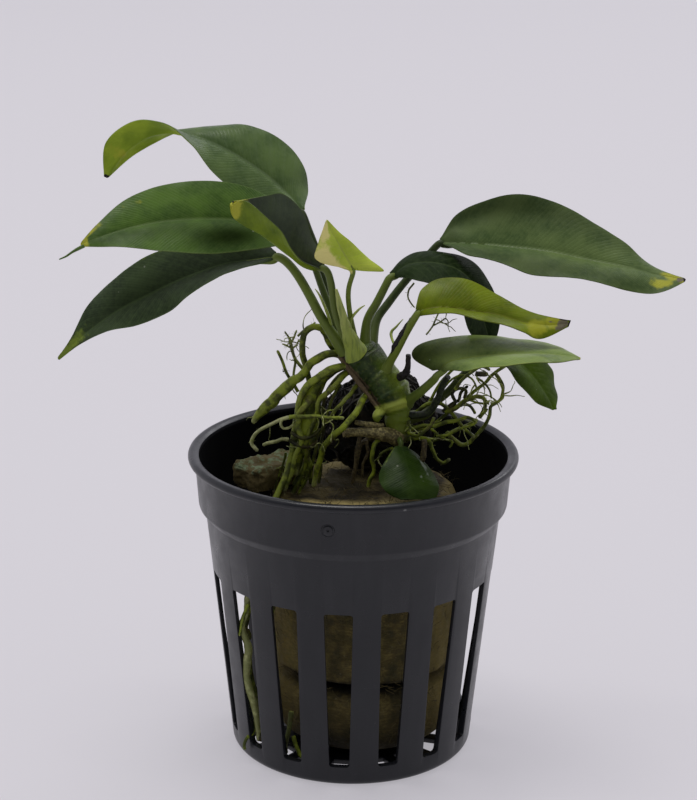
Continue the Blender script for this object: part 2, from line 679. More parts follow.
mineral_wool = wool_finish()
sunk_edge = ((0.05, 7.0), (0.4, 4.6), (1.2, 3.0), (2.2, 1.6), (3.4, 0.8), (5.0, 0.25), (6.5, 0.0))
seam_edge = ((0.05, 1.3), (0.3, 0.7), (0.8, 0.3), (1.6, 0.08), (3.0, 0.0))
soft_edge = ((4.0, 0.0), (2.4, 0.2), (1.2, 0.7), (0.4, 1.7), (0.05, 3.0))
wool_plug("wool_plug_lower", PLUG_FLOOR, SEAM - SEAM_HALF, sunk_edge, soft_edge, mineral_wool, "wool_lower")
wool_plug("wool_plug_upper", SEAM + SEAM_HALF, PLUG_TOP, seam_edge, soft_edge, mineral_wool, "wool_upper")

bm = bmesh.new()
bmesh.ops.create_cube(bm, size=1.0)
bmesh.ops.bevel(bm, geom=bm.edges[:], offset=0.16, segments=3, profile=0.5, affect="EDGES", material=-1)
bmesh.ops.subdivide_edges(bm, edges=bm.edges[:], cuts=7, use_grid_fill=True)
bmesh.ops.triangulate(bm, faces=[face for face in bm.faces if len(face.verts) > 4])
bmesh.ops.subdivide_edges(bm, edges=bm.edges[:], cuts=1, use_grid_fill=True)
bmesh.ops.scale(bm, verts=bm.verts, vec=CORNER_SIZE)
bmesh.ops.rotate(bm, verts=bm.verts, cent=(0, 0, 0), matrix=Matrix.Rotation(CORNER_TURN, 3, "Z"))
bmesh.ops.translate(bm, verts=bm.verts, vec=CORNER_CENTRE)
bm.normal_update()
for vert in bm.verts:
    depth = rugged(vert.co, *CORNER_LUMPS) - abs(rugged(vert.co, *CORNER_PITS))
    hole = math.exp(-((vert.co - CORNER_HOLE).length / CORNER_HOLE_RADIUS) ** 2)
    vert.co += vert.normal * (min(depth, CORNER_PROUD) - CORNER_HOLE_DEPTH * hole)
    vert.co.z = max(vert.co.z, (PLUG_TOP + 0.05) * MM)
add_piece("wool_raised_corner", bm, mineral_wool, nodes=("wool_corner",))


def fibre_rows(start, heading, length, radius, curl, dice):
    """A loose thread that starts here and bends at random."""
    rows = []
    place = Vector(start)
    heading = heading.normalized()
    for index in range(5):
        rows.append((*place, radius * (1.0 if 0 < index < 4 else 0.45)))
        turn = Vector((dice.uniform(-1, 1), dice.uniform(-1, 1), dice.uniform(-1, 1)))
        heading = (heading + curl * turn).normalized()
        place = place + heading * length / 4
    return rows


bm = bmesh.new()
for index in range(FIBRES):
    angle = fibre_dice.uniform(0, math.tau)
    outwards = Vector((math.cos(angle), math.sin(angle), 0))
    on_top = index % 4 == 0
    if on_top:
        reach = PLUG_RADIUS * math.sqrt(fibre_dice.uniform(0.0, 0.9))
        start = outwards * reach + Vector((PLUG_X, 0, PLUG_TOP + 0.05))
        heading = Vector((fibre_dice.uniform(-1, 1), fibre_dice.uniform(-1, 1), fibre_dice.uniform(0, 0.5)))
    else:
        height = fibre_dice.uniform(PLUG_FLOOR + 5, PLUG_TOP - 1)
        start = outwards * (PLUG_RADIUS + fibre_dice.uniform(-0.1, 0.15)) + Vector((PLUG_X, 0, height))
        heading = outwards.cross(Vector((0, 0, 1))) * fibre_dice.choice((-1, 1))
        heading += Vector((0, 0, fibre_dice.uniform(-1.2, 1.2)))
    rows = fibre_rows(start, heading, fibre_dice.uniform(1.0, 3.2), FIBRE_RADIUS, 0.35, fibre_dice)
    tube_into(bm, rows, 5, 3)
close_tubes(bm)


def fibre_finish():
    finish, tree, shader = new_material("wool fibre", 0.7, 0.3)
    place = object_place(tree)
    shade = mix(tree, patchy(tree, place, 2.5, 0.35, 0.65), rgb(0.035, 0.028, 0.010),
                rgb(0.17, 0.135, 0.055))
    feed(tree, shader.inputs["Base Color"], shade)
    return finish


add_piece("wool_fibres", bm, fibre_finish())


# Behind the rhizome lies the lump that years of dead roots have left: nearly black, matted, with
# strands that lie over one another and a few pale grains caught between them.

OLD_MASS_CENTRE = Vector((4.5, 8.4, 54.6))
OLD_MASS_RADII = Vector((9.4, 4.5, 9.2))
OLD_STRANDS = 190
OLD_STRAND_KNOTS = 7
OLD_GRAINS = 90
old_dice = random.Random(23)


def any_way(dice):
    """A vector that points any way, drawn at random."""
    return Vector([dice.gauss(0, 1) for axis in range(3)])


def old_swell(direction):
    """How far the lump swells in this direction, as a share of its size."""
    return 0.13 * noise.noise(direction * 2.1)


def on_old_mass(direction, reach):
    """The point of the lump in this direction, at this share of its size, clear of the wool."""
    place = OLD_MASS_CENTRE + Vector([axis * size * reach for axis, size in zip(direction, OLD_MASS_RADII)])
    place.z = max(place.z, PLUG_TOP + 0.35)
    return place


bm = bmesh.new()
bmesh.ops.create_icosphere(bm, subdivisions=6, radius=1.0)
for vert in bm.verts:
    direction = vert.co.normalized()
    reach = 0.95 + old_swell(direction) + 0.07 * noise.noise(direction * 6)
    reach += 0.03 * noise.noise(direction * 18)
    vert.co = MM * on_old_mass(direction, reach)
for index in range(OLD_STRANDS):
    direction = any_way(old_dice).normalized()
    heading = any_way(old_dice)
    rows = []
    radius = old_dice.uniform(0.14, 0.38)
    for knot in range(OLD_STRAND_KNOTS):
        lift = 1.0 + old_swell(direction) + old_dice.uniform(-0.015, 0.03)
        rows.append((*on_old_mass(direction, lift), radius * (1 - 0.09 * knot)))
        heading += 0.5 * any_way(old_dice)
        direction = (direction + 0.16 * heading.normalized()).normalized()
    tube_into(bm, rows, 16, 6)
close_tubes(bm)


def old_root_finish():
    """Dead root tissue: very dark brown, a little wet, with paler worn streaks."""
    finish, tree, shader = new_material("old dead roots", 0.62, 0.35)
    place = object_place(tree)
    shade = mix(tree, patchy(tree, place, 1.6, 0.4, 0.7), rgb(0.0045, 0.0035, 0.0022),
                rgb(0.020, 0.014, 0.007))
    shade = mix(tree, patchy(tree, place, 4.0, 0.55, 0.72, 0.0, 0.6), shade, rgb(0.028, 0.026, 0.010))
    grit = speckles(tree, place, 900.0, 0.08, 0.2)
    shade = mix(tree, times(tree, grit, 0.5), shade, rgb(0.16, 0.14, 0.10))
    feed(tree, shader.inputs["Base Color"], shade)
    feed(tree, shader.inputs["Roughness"], patchy(tree, place, 0.8, 0.3, 0.7, 0.5, 0.8))
    bump(tree, shader, cloud(tree, place, 0.35, detail=6.0), 0.12, 0.8)
    return finish


old_root_tissue = old_root_finish()
add_piece("old_root_tangle", bm, old_root_tissue, nodes=("old_root_mass",))

bm = bmesh.new()
for index in range(OLD_GRAINS):
    direction = any_way(old_dice).normalized()
    place = MM * on_old_mass(direction, 1.0 + old_swell(direction))
    grain = bmesh.ops.create_icosphere(bm, subdivisions=1, radius=old_dice.uniform(0.07, 0.16)
                                       * MM)["verts"]
    bmesh.ops.translate(bm, verts=grain, vec=place)


def grain_finish():
    finish, tree, shader = new_material("pale grains", 0.5, 0.4)
    place = object_place(tree)
    feed(tree, shader.inputs["Base Color"], mix(tree, patchy(tree, place, 2.0, 0.4, 0.6),
                                                rgb(0.42, 0.38, 0.27), rgb(0.16, 0.14, 0.09)))
    return finish


add_piece("pale_grains", bm, grain_finish())


# The leaves are alike: a firm blade with a channelled midrib, fine veins that curve to the tip, a
# thin pale margin and a lighter underside, on a round petiole with a small swelling under the blade.
# Age and damage differ from leaf to leaf, so each one has its own section further on.

BLADE_CELLS = (104, 40)
BLADE_EDGE_THICKNESS = 0.16
BLADE_MIDDLE_THICKNESS = 0.34
RIB_BULGE = 0.42
RIB_REACH = 0.5
RIB_CHANNEL = 0.13
VEIN_DEPTH = 0.022
VEIN_LEAN = 0.17
BLADE_WAVES = 0.30
PETIOLE_RINGS = 90
PETIOLE_SIDES = 18
WHISKER_RINGS = 16
WHISKER_SIDES = 6
TINTS = ("yellow", "dry", "scorch", "dim")
CARRIED = ("along", "across", "under", *TINTS)
TONES = ("Dark", "Light", "Vein", "Back", "Back Dark", "Yellowed", "Dried")
USUAL_LOOK = {
    "camber": 0.05, "channel": 1.0, "ruffles": 3, "gloss": 0.22, "pale edge": 0.3,
    "Yellowed": (0.42, 0.42, 0.035), "Dried": (0.26, 0.24, 0.18), "tints": {},
}


def with_radius(points, first, last):
    """Rows of x, y, z and radius, where the radius goes from first to last."""
    spans = len(points) - 1
    return [(*point, first + (last - first) * index / spans) for index, point in enumerate(points)]


def stroke(value, middle, reach):
    """A bell of height 1 about the middle."""
    return math.exp(-(((value - middle) / reach) ** 2))


def blade_place(blade, along, across):
    """A point of the blade and its half width there. Across runs from -1, its left edge, to 1."""
    left, rib, right = blade
    middle = Vector(on_curve(rib, along))
    edge = Vector(on_curve(left if across < 0 else right, along))
    return middle.lerp(edge, abs(across)), (edge - middle).length


def blade_relief(along, across, half_width, place, look):
    """How far the upper skin lies over the plain blade, in millimetres."""
    side = abs(across)
    swell = look["camber"] * half_width * 4 * side * (1 - side)
    channel = look["channel"] * RIB_CHANNEL * stroke(side * half_width, 0, RIB_REACH) * (1 - along) ** 0.4
    phase = (along - VEIN_LEAN * side**0.8) * look["veins"]
    vein = VEIN_DEPTH * stroke(phase % 1.0, 0.5, 0.13) * (1 - side**4) * min(1.0, half_width / 3)
    waves = BLADE_WAVES * noise.noise(place / 8) * min(1.0, half_width / 4)
    waves += 0.1 * noise.noise(place / 2.6) * side
    ruffle = look["ruffle"] * side**3 * math.sin(along * math.tau * look["ruffles"] + 1.3 * across)
    return swell + waves + ruffle * min(1.0, half_width / 4) - channel - vein


def tint(spots, along, across):
    """How strong a tint is here: each spot is (along, across, reach along, reach across, strength)."""
    value = 0.0
    for middle, side, reach, reach_across, strength in spots:
        value = max(value, strength * stroke(along, middle, reach) * stroke(across, side, reach_across))
    return value


def blade_mesh(blade, look):
    """The blade as one closed sheet: an upper skin, a lower one with the rib's bulge, and a margin."""
    bm = bmesh.new()
    layers = {}
    for label in CARRIED:
        layers[label] = bm.verts.layers.float.new(label)
    upper = bmesh.ops.create_grid(bm, x_segments=BLADE_CELLS[0], y_segments=BLADE_CELLS[1],
                                  size=1.0)["verts"]
    widths = {}
    for vert in upper:
        along = (vert.co.x + 1) / 2
        across = -vert.co.y
        vert.co, widths[vert] = blade_place(blade, along, across)
        vert[layers["along"]] = along
        vert[layers["across"]] = across
        for label in TINTS:
            vert[layers[label]] = tint(look["tints"].get(label, ()), along, across)
    bm.normal_update()
    normals = {vert: vert.normal.copy() for vert in upper}
    for vert in upper:
        along, across = vert[layers["along"]], vert[layers["across"]]
        vert.co += normals[vert] * blade_relief(along, across, widths[vert], vert.co, look)
    copied = bmesh.ops.duplicate(bm, geom=bm.verts[:] + bm.edges[:] + bm.faces[:])
    for vert in upper:
        along, side = vert[layers["along"]], abs(vert[layers["across"]])
        thickness = BLADE_MIDDLE_THICKNESS + (BLADE_EDGE_THICKNESS - BLADE_MIDDLE_THICKNESS) * side**2
        thickness += RIB_BULGE * stroke(side * widths[vert], 0, RIB_REACH) * (1 - along) ** 0.6
        lower = copied["vert_map"][vert]
        lower.co = vert.co - normals[vert] * thickness
        lower[layers["under"]] = 1.0
    lower_faces = [item for item in copied["geom"] if isinstance(item, bmesh.types.BMFace)]
    bmesh.ops.reverse_faces(bm, faces=lower_faces)
    bmesh.ops.bridge_loops(bm, edges=[edge for edge in bm.edges if edge.is_boundary])
    bmesh.ops.scale(bm, vec=(MM, MM, MM), verts=bm.verts)
    bmesh.ops.recalc_face_normals(bm, faces=bm.faces)
    return bm


def leaf_skin_group():
    """Mottled green with paler veins, dim where it lies in the shade of another leaf, and the yellow, dry
    and scorched parts over it. Dim parts are also duller."""
    inputs = [("Place", "Vector", None), ("Veins", "Float", 14.0), ("Pale Edge", "Float", 0.3)]
    inputs += [(label.title(), "Float", 0.0) for label in CARRIED]
    inputs += [(tone, "Color", rgb(0, 0, 0)) for tone in TONES]
    outputs = (("Colour", "Color"), ("Roughness", "Float"), ("Height", "Float"))
    group, given, result = new_group("leaf skin", inputs, outputs)
    place = given["Place"]
    broad = cloud(group, place, 6.0)
    fine = cloud(group, place, 0.7, detail=6.0)
    side = calc(group, "ABSOLUTE", given["Across"])
    lean = times(group, calc(group, "POWER", side, 0.8), VEIN_LEAN)
    phase = times(group, minus(group, given["Along"], lean), given["Veins"])
    wander = times(group, minus(group, cloud(group, place, 3.0), 0.5), 0.35)
    from_vein = calc(group, "ABSOLUTE", minus(group, calc(group, "FRACT", phase), 0.5))
    thin_veins = times(group, plus(group, phase, wander), 4.0)
    from_thin = calc(group, "ABSOLUTE", minus(group, calc(group, "FRACT", thin_veins), 0.5))
    vein = step(group, from_vein, 0.02, 0.10, 1.0, 0.0)
    thin = step(group, from_thin, 0.04, 0.3, 1.0, 0.0)
    rib = step(group, side, 0.015, 0.055, 1.0, 0.0)
    edge = times(group, step(group, side, 0.955, 0.995), given["Pale Edge"])
    shade = mix(group, step(group, broad, 0.35, 0.68), given["Dark"], given["Light"])
    shade = mix(group, step(group, fine, 0.3, 0.75, 0.0, 0.45), shade,
                mix(group, 0.35, given["Light"], given["Vein"]))
    back = mix(group, step(group, broad, 0.35, 0.65), given["Back"], given["Back Dark"])
    lines = calc(group, "MAXIMUM", times(group, vein, 0.16), times(group, thin, 0.07))
    lines = calc(group, "MAXIMUM", lines, times(group, rib, 0.45))
    lines = calc(group, "MAXIMUM", lines, edge)
    shade = mix(group, lines, shade, given["Vein"])
    back = mix(group, times(group, lines, 0.5), back, given["Back Dark"])
    shade = mix(group, given["Under"], shade, back)
    shade = mix(group, given["Dim"], shade, mix(group, 0.12, rgb(0.002, 0.003, 0.001), shade))
    ragged = times(group, minus(group, cloud(group, place, 1.1, detail=6.0), 0.5), 0.7)
    yellow = step(group, plus(group, given["Yellow"], ragged), 0.28, 0.62)
    shade = mix(group, times(group, yellow, 0.92), shade, given["Yellowed"])
    dry = step(group, plus(group, given["Dry"], ragged), 0.38, 0.58)
    dry_tone = mix(group, fine, given["Dried"], rgb(0.10, 0.085, 0.05))
    shade = mix(group, dry, shade, dry_tone)
    scorch = step(group, plus(group, given["Scorch"], ragged), 0.42, 0.56)
    shade = mix(group, scorch, shade, rgb(0.010, 0.006, 0.005))
    grit = speckles(group, place, 420.0, 0.10, 0.10)
    fine_grit = speckles(group, place, 900.0, 0.07, 0.11)
    grit = times(group, calc(group, "MAXIMUM", grit, fine_grit), 0.4)
    shade = mix(group, grit, shade, rgb(0.38, 0.40, 0.30))
    group.links.new(shade, result["Colour"])
    rough = plus(group, patchy(group, place, 1.8, 0.3, 0.7, 0.30, 0.44),
                 times(group, given["Under"], 0.12))
    rough = plus(group, rough, times(group, given["Dim"], 0.25))
    group.links.new(plus(group, rough, times(group, dry, 0.3)), result["Roughness"])
    height = minus(group, times(group, fine, 0.6), times(group, thin, 0.35))
    height = plus(group, height, times(group, cloud(group, place, 0.22), 0.35))
    group.links.new(height, result["Height"])
    return group


leaf_skin = leaf_skin_group()


def leaf_finish(name, look):
    finish, tree, shader = new_material(name, 0.4)
    gloss = step(tree, reading(tree, "dim"), 0.0, 1.0, look["gloss"], 0.01)
    feed(tree, shader.inputs["Specular IOR Level"], gloss)
    carried = {label.title(): reading(tree, label) for label in CARRIED}
    tones = {tone.replace(" ", "_"): rgb(*look[tone]) for tone in TONES}
    skin = use_group(tree, leaf_skin, Place=object_place(tree), Veins=look["veins"],
                     Pale_Edge=look["pale edge"], **carried, **tones)
    feed(tree, shader.inputs["Base Color"], skin["Colour"])
    feed(tree, shader.inputs["Roughness"], skin["Roughness"])
    bump(tree, shader, skin["Height"], 0.05, 0.7)
    return finish


def petiole_finish(name, top, side, foot):
    """Smooth green skin, darker on top, with fine streaks and a foot of its own colour."""
    finish, tree, shader = new_material(name, 0.42, 0.22)
    place = object_place(tree)
    topside = reading(tree, "topside")
    along = reading(tree, "along")
    shade = mix(tree, step(tree, topside, -0.5, 0.6), rgb(*side), rgb(*top))
    shade = mix(tree, step(tree, along, 0.02, 0.22, 0.8, 0.0), shade, rgb(*foot))
    shade = mix(tree, patchy(tree, place, 1.4, 0.4, 0.75, 0.0, 0.45), shade, rgb(*side))
    streaks = cloud(tree, object_place(tree, (1, 1, 6)), 0.5)
    shade = mix(tree, step(tree, streaks, 0.5, 0.75, 0.0, 0.3), shade, rgb(*foot))
    grit = speckles(tree, place, 700.0, 0.08, 0.14)
    shade = mix(tree, times(tree, grit, 0.4), shade, rgb(0.35, 0.36, 0.22))
    feed(tree, shader.inputs["Base Color"], shade)
    bump(tree, shader, cloud(tree, object_place(tree, (1, 1, 3)), 0.35), 0.05, 0.5)
    return finish


def petiole_shape(share, angle):
    """The radius swells at the foot and just under the blade, and is a little uneven."""
    factor = 1 + 0.55 * stroke(share, 0.0, 0.09) + 0.12 * stroke(share, 0.84, 0.06)
    return factor + 0.05 * noise.noise(Vector((share * 9, math.cos(angle), math.sin(angle))))


def leaf(name, blade, look, whisker=()):
    """The blade of a leaf, which stands for the node leaf_NAME, and the whisker at its tip, if any."""
    look = {**USUAL_LOOK, **look}
    bm = blade_mesh(blade, look)
    if whisker:
        tube_into(bm, whisker, WHISKER_RINGS, WHISKER_SIDES)
        close_tubes(bm)
    finish = leaf_finish("leaf " + name.replace("_", " "), look)
    add_piece(f"blade_{name}", bm, finish, sharp=70, nodes=(f"leaf_{name}",))


def petiole(name, blade, points, first, last, top, side, foot):
    """A petiole that runs on under the blade's midrib and sinks into it. It stands for stalk_NAME."""
    rows = with_radius(points, first, last)
    left, rib, right = blade
    for along in (0.03, 0.09, 0.16):
        place, half_width = blade_place(blade, along, 0.0)
        ahead = Vector(on_curve(rib, along + 0.02)) - place
        upwards = ahead.cross(Vector(on_curve(left, along)) - Vector(on_curve(right, along))).normalized()
        radius = last * (1.02 - 3.2 * along)
        rows.append((*(place - upwards * (radius + 0.15)), radius))
    bm = bmesh.new()
    tube_into(bm, rows, PETIOLE_RINGS, PETIOLE_SIDES, petiole_shape)
    close_tubes(bm)
    finish = petiole_finish("petiole " + name.replace("_", " "), top, side, foot)
    add_piece(f"petiole_{name}", bm, finish, nodes=(f"stalk_{name}",))


# The big right leaf lies nearly level and shows its upper side. Its near edge is wavy, and its tip is
# yellow, then grey and dry, and black at the very point.

BIG_RIGHT_BLADE = (
    ((14.4, 7.8, 87.6), (17.0, 11.2, 90.6), (21.3, 11.6, 93.2), (28.0, 11.0, 94.4), (35.5, 9.0, 92.9),
     (43.8, 6.0, 88.0), (49.6, 2.5, 84.4), (54.4, 0.3, 82.9)),
    ((14.5, 7.5, 87.0), (17.3, 7.0, 86.9), (22.6, 6.0, 86.9), (29.2, 5.0, 86.6), (36.6, 3.5, 85.7),
     (44.0, 2.0, 84.5), (49.7, 1.0, 83.5), (54.7, 0.0, 82.8)),
    ((14.9, 7.2, 86.6), (17.9, 2.5, 86.6), (22.7, 1.0, 85.2), (29.0, -1.0, 83.9), (36.2, -2.0, 83.2),
     (43.6, -2.5, 82.0), (49.9, -2.0, 80.9), (54.5, -0.3, 82.5)),
)
BIG_RIGHT_PETIOLE = (
    (2.8, 3.2, 70.0), (3.7, 5.5, 73.7), (5.7, 7.0, 76.4), (8.2, 8.0, 79.5), (11.4, 8.3, 83.3),
    (14.0, 7.7, 86.5),
)
BIG_RIGHT_LOOK = {
    "veins": 17, "ruffle": 0.35, "ruffles": 3.4, "gloss": 0.16, "Dark": (0.056, 0.1, 0.026),
    "Light": (0.13, 0.19, 0.055), "Vein": (0.15, 0.21, 0.07), "Back": (0.16, 0.21, 0.04),
    "Back Dark": (0.08, 0.12, 0.02),
    "tints": {
        "yellow": ((0.93, -0.2, 0.05, 0.7, 0.9), (0.88, 0.55, 0.06, 0.35, 0.75),
                   (0.98, 0.3, 0.03, 0.9, 0.9)),
        "dry": ((0.965, 0.35, 0.03, 0.6, 0.75), (0.985, -0.2, 0.02, 0.6, 0.6)),
        "scorch": ((1, 0.1, 0.02, 1.2, 1),),
        "dim": ((0.30, -0.85, 0.42, 0.45, 0.85), (0.1, -0.3, 0.1, 0.5, 0.5),
                (0.45, 0.75, 0.55, 0.45, 0.5)),
    },
}

leaf("big_right", BIG_RIGHT_BLADE, BIG_RIGHT_LOOK)
petiole("big_right", BIG_RIGHT_BLADE, BIG_RIGHT_PETIOLE, 0.75, 0.6, (0.035, 0.055, 0.015),
        (0.085, 0.12, 0.03), (0.1, 0.13, 0.03))


# The light green right leaf is one of the youngest. Its far end has turned yellow with a grey dry
# patch, thin brown veins and a dark brown tip.

LIGHT_RIGHT_BLADE = (
    ((10.1, -9.0, 80.3), (10.8, -6.5, 82.4), (13.9, -5.0, 84.0), (18.4, -5.0, 83.8), (23.5, -6.0, 81.5),
     (28.0, -7.0, 79.3), (31.5, -8.5, 78.6), (34.9, -10.0, 78.4)),
    ((10.3, -9.0, 79.4), (11.9, -9.0, 80.0), (14.8, -9.0, 80.2), (18.7, -9.0, 79.7), (23.1, -9.0, 79.0),
     (27.5, -9.0, 77.9), (31.3, -9.5, 77.5), (34.8, -10.0, 77.9)),
    ((10.6, -9.0, 78.6), (12.2, -10.5, 79.4), (14.8, -12.0, 80.0), (18.5, -13.0, 79.7),
     (22.8, -13.0, 78.8), (27.1, -12.0, 77.0), (30.2, -11.0, 75.6), (34.6, -10.0, 77.3)),
)
LIGHT_RIGHT_PETIOLE = (
    (4.9, -1.4, 66.0), (5.9, -3.2, 69.0), (7.1, -5.2, 72.0), (8.6, -7.0, 75.6), (9.9, -8.7, 78.5),
)
LIGHT_RIGHT_LOOK = {
    "camber": 0.06, "veins": 13, "ruffle": 0.1, "gloss": 0.1, "Dark": (0.085, 0.125, 0.004),
    "Light": (0.17, 0.23, 0.005), "Vein": (0.15, 0.13, 0.02), "Back": (0.17, 0.22, 0.03),
    "Back Dark": (0.1, 0.14, 0.02), "Yellowed": (0.32, 0.33, 0.02), "Dried": (0.22, 0.2, 0.13),
    "tints": {
        "yellow": ((0.8, 0.3, 0.1, 0.9, 0.75), (0.9, -0.3, 0.09, 0.9, 0.8)),
        "dry": ((0.95, 0.0, 0.05, 1.1, 0.85), (0.88, -0.35, 0.04, 0.3, 0.5)),
        "scorch": ((1, 0, 0.02, 1.4, 1), (0.96, -0.9, 0.06, 0.2, 0.8)),
        "dim": ((0.5, 0.2, 0.25, 0.5, 0.3),),
    },
}

leaf("light_right", LIGHT_RIGHT_BLADE, LIGHT_RIGHT_LOOK)
petiole("light_right", LIGHT_RIGHT_BLADE, LIGHT_RIGHT_PETIOLE, 0.8, 0.6, (0.07, 0.1, 0.018),
        (0.16, 0.21, 0.03), (0.17, 0.22, 0.05))


# The flat right leaf is seen almost edge on: mid green, a little darker at its left end, with a
# bright pale midrib close to its lower edge.

FLAT_RIGHT_BLADE = (
    ((12.6, -9.5, 69.6), (9.6, -6.0, 71.0), (11.5, -4.0, 72.8), (17.1, -4.0, 74.0), (23.1, -4.5, 74.0),
     (28.5, -5.5, 73.9), (33.0, -8.5, 73.6), (36.4, -12.3, 72.9)),
    ((13.9, -12.0, 70.5), (15.0, -12.5, 71.8), (17.3, -13.0, 72.7), (21.0, -13.0, 73.3),
     (25.4, -13.0, 73.6), (29.9, -12.5, 73.6), (33.5, -12.5, 73.3), (36.5, -12.5, 72.8)),
    ((14.6, -13.0, 70.4), (15.8, -15.5, 71.6), (18.1, -18.0, 72.4), (21.0, -19.0, 73.4),
     (25.1, -19.0, 73.7), (29.7, -17.5, 73.4), (33.4, -15.0, 73.0), (36.4, -12.7, 72.7)),
)
FLAT_RIGHT_PETIOLE = (
    (8.8, -1.6, 61.6), (9.7, -3.6, 63.0), (11.1, -7.0, 65.3), (13.0, -10.0, 68.2),
    (13.4, -11.1, 69.2),
)
FLAT_RIGHT_LOOK = {
    "veins": 14, "ruffle": 0.12, "gloss": 0.14, "pale edge": 0.6, "Dark": (0.09, 0.145, 0.035),
    "Light": (0.21, 0.29, 0.075), "Vein": (0.26, 0.33, 0.06), "Back": (0.035, 0.055, 0.012),
    "Back Dark": (0.018, 0.028, 0.006),
    "tints": {
        "yellow": ((1, 0, 0.02, 1.2, 0.7),),
        "dim": ((0.16, -0.9, 0.2, 1.0, 1.0), (0.0, 0.0, 0.22, 2.0, 0.8)),
    },
}

leaf("flat_right", FLAT_RIGHT_BLADE, FLAT_RIGHT_LOOK)
petiole("flat_right", FLAT_RIGHT_BLADE, FLAT_RIGHT_PETIOLE, 0.9, 0.6, (0.06, 0.09, 0.015),
        (0.13, 0.18, 0.03), (0.14, 0.18, 0.04))


# The arched right leaf rises and bends down behind the light green one. It is the darkest of all, and
# hardly shines.

ARCHED_RIGHT_BLADE = (
    ((5.8, 2.0, 83.1), (8.4, 5.0, 84.8), (12.3, 6.0, 85.8), (16.8, 6.5, 85.0), (20.7, 6.5, 83.0),
     (23.1, 6.0, 79.6), (24.5, 4.5, 74.7), (23.6, 2.5, 70.1)),
    ((6.2, 1.5, 82.8), (8.8, 2.0, 84.5), (12.8, 2.0, 84.9), (16.8, 2.0, 83.9), (19.7, 2.0, 81.4),
     (21.1, 2.0, 77.9), (22.0, 2.0, 74.1), (23.1, 2.0, 69.8)),
    ((6.8, 1.0, 82.4), (9.4, -2.0, 83.2), (13.0, -3.5, 82.6), (16.1, -3.5, 80.9), (17.7, -3.0, 78.7),
     (18.4, -2.0, 76.0), (20.0, -0.5, 72.7), (22.6, 1.5, 69.7)),
)
ARCHED_RIGHT_PETIOLE = (
    (1.8, 0.1, 69.2), (2.1, 0.3, 75.0), (3.7, 0.5, 78.2), (5.2, 1.0, 81.2), (5.9, 1.4, 82.3),
)
ARCHED_RIGHT_LOOK = {
    "veins": 15, "ruffle": 0.15, "gloss": 0.02, "Dark": (0.007, 0.015, 0.004),
    "Light": (0.017, 0.031, 0.009), "Vein": (0.07, 0.1, 0.04), "Back": (0.06, 0.09, 0.03),
    "Back Dark": (0.03, 0.05, 0.015),
}

leaf("arched_right", ARCHED_RIGHT_BLADE, ARCHED_RIGHT_LOOK)
petiole("arched_right", ARCHED_RIGHT_BLADE, ARCHED_RIGHT_PETIOLE, 0.75, 0.65, (0.05, 0.075, 0.012),
        (0.11, 0.15, 0.025), (0.12, 0.16, 0.03))


# The hanging right leaf hangs behind the others from a long petiole. It is dark, with a thin paler
# edge.

HANGING_RIGHT_BLADE = (
    ((24.9, -1.5, 71.2), (30.3, 1.0, 70.0), (32.7, 1.0, 67.3), (33.5, -0.5, 65.3), (33.9, -3.0, 63.2),
     (33.5, -6.0, 62.2)),
    ((24.7, -2.0, 70.7), (26.7, -2.5, 69.7), (28.8, -3.5, 67.8), (30.6, -4.5, 65.9), (32.1, -5.5, 63.9),
     (33.2, -6.0, 61.9)),
    ((24.2, -2.5, 70.2), (24.5, -5.5, 69.9), (25.9, -7.5, 68.6), (27.5, -8.5, 66.6), (29.9, -8.0, 64.0),
     (32.8, -6.3, 62.0)),
)
HANGING_RIGHT_PETIOLE = (
    (8.0, -0.4, 58.4), (12.1, 1.0, 58.7), (13.9, 1.5, 60.7), (16.1, 1.5, 62.7), (17.7, 1.0, 64.9),
    (19.9, 0.0, 67.5), (22.6, -1.0, 69.8), (24.0, -1.7, 70.5),
)
HANGING_RIGHT_LOOK = {
    "camber": 0.06, "veins": 11, "ruffle": 0.12, "gloss": 0.03, "Dark": (0.032, 0.062, 0.003),
    "Light": (0.07, 0.125, 0.006), "Vein": (0.1, 0.14, 0.04), "Back": (0.05, 0.08, 0.02),
    "Back Dark": (0.03, 0.05, 0.012),
}

leaf("hanging_right", HANGING_RIGHT_BLADE, HANGING_RIGHT_LOOK)
petiole("hanging_right", HANGING_RIGHT_BLADE, HANGING_RIGHT_PETIOLE, 0.8, 0.55, (0.05, 0.07, 0.015),
        (0.1, 0.13, 0.03), (0.1, 0.12, 0.03))


# The top left leaf makes a half turn before its tip, so that the tip shows its yellow-green underside
# with the dark midrib. The last millimetres have died and are dark brown.

TOP_LEFT_BLADE = (
    ((-9.1, 5.6, 92.2), (-11.1, 3.5, 92.5), (-15.4, 3.0, 93.8), (-19.6, 3.0, 96.4), (-24.2, 3.5, 100.2),
     (-27.0, 4.0, 104.0), (-30.9, 5.0, 107.2), (-36.3, 6.0, 107.4), (-41.2, 6.0, 103.8),
     (-41.6, 5.4, 98.2)),
    ((-8.8, 6.0, 92.5), (-10.7, 7.0, 94.6), (-14.2, 7.5, 97.7), (-18.7, 8.0, 100.6), (-23.6, 8.0, 103.4),
     (-27.4, 8.0, 105.0), (-30.7, 8.0, 105.6), (-34.7, 7.5, 104.7), (-38.6, 6.5, 101.9),
     (-41.2, 5.5, 98.0)),
    ((-8.5, 6.4, 93.0), (-7.9, 11.0, 95.2), (-8.8, 12.0, 99.2), (-12.5, 13.0, 103.0),
     (-18.2, 13.0, 105.5), (-24.4, 12.5, 105.6), (-29.6, 11.0, 104.8), (-34.2, 9.0, 102.8),
     (-37.6, 7.5, 100.9), (-40.9, 5.6, 98.0)),
)
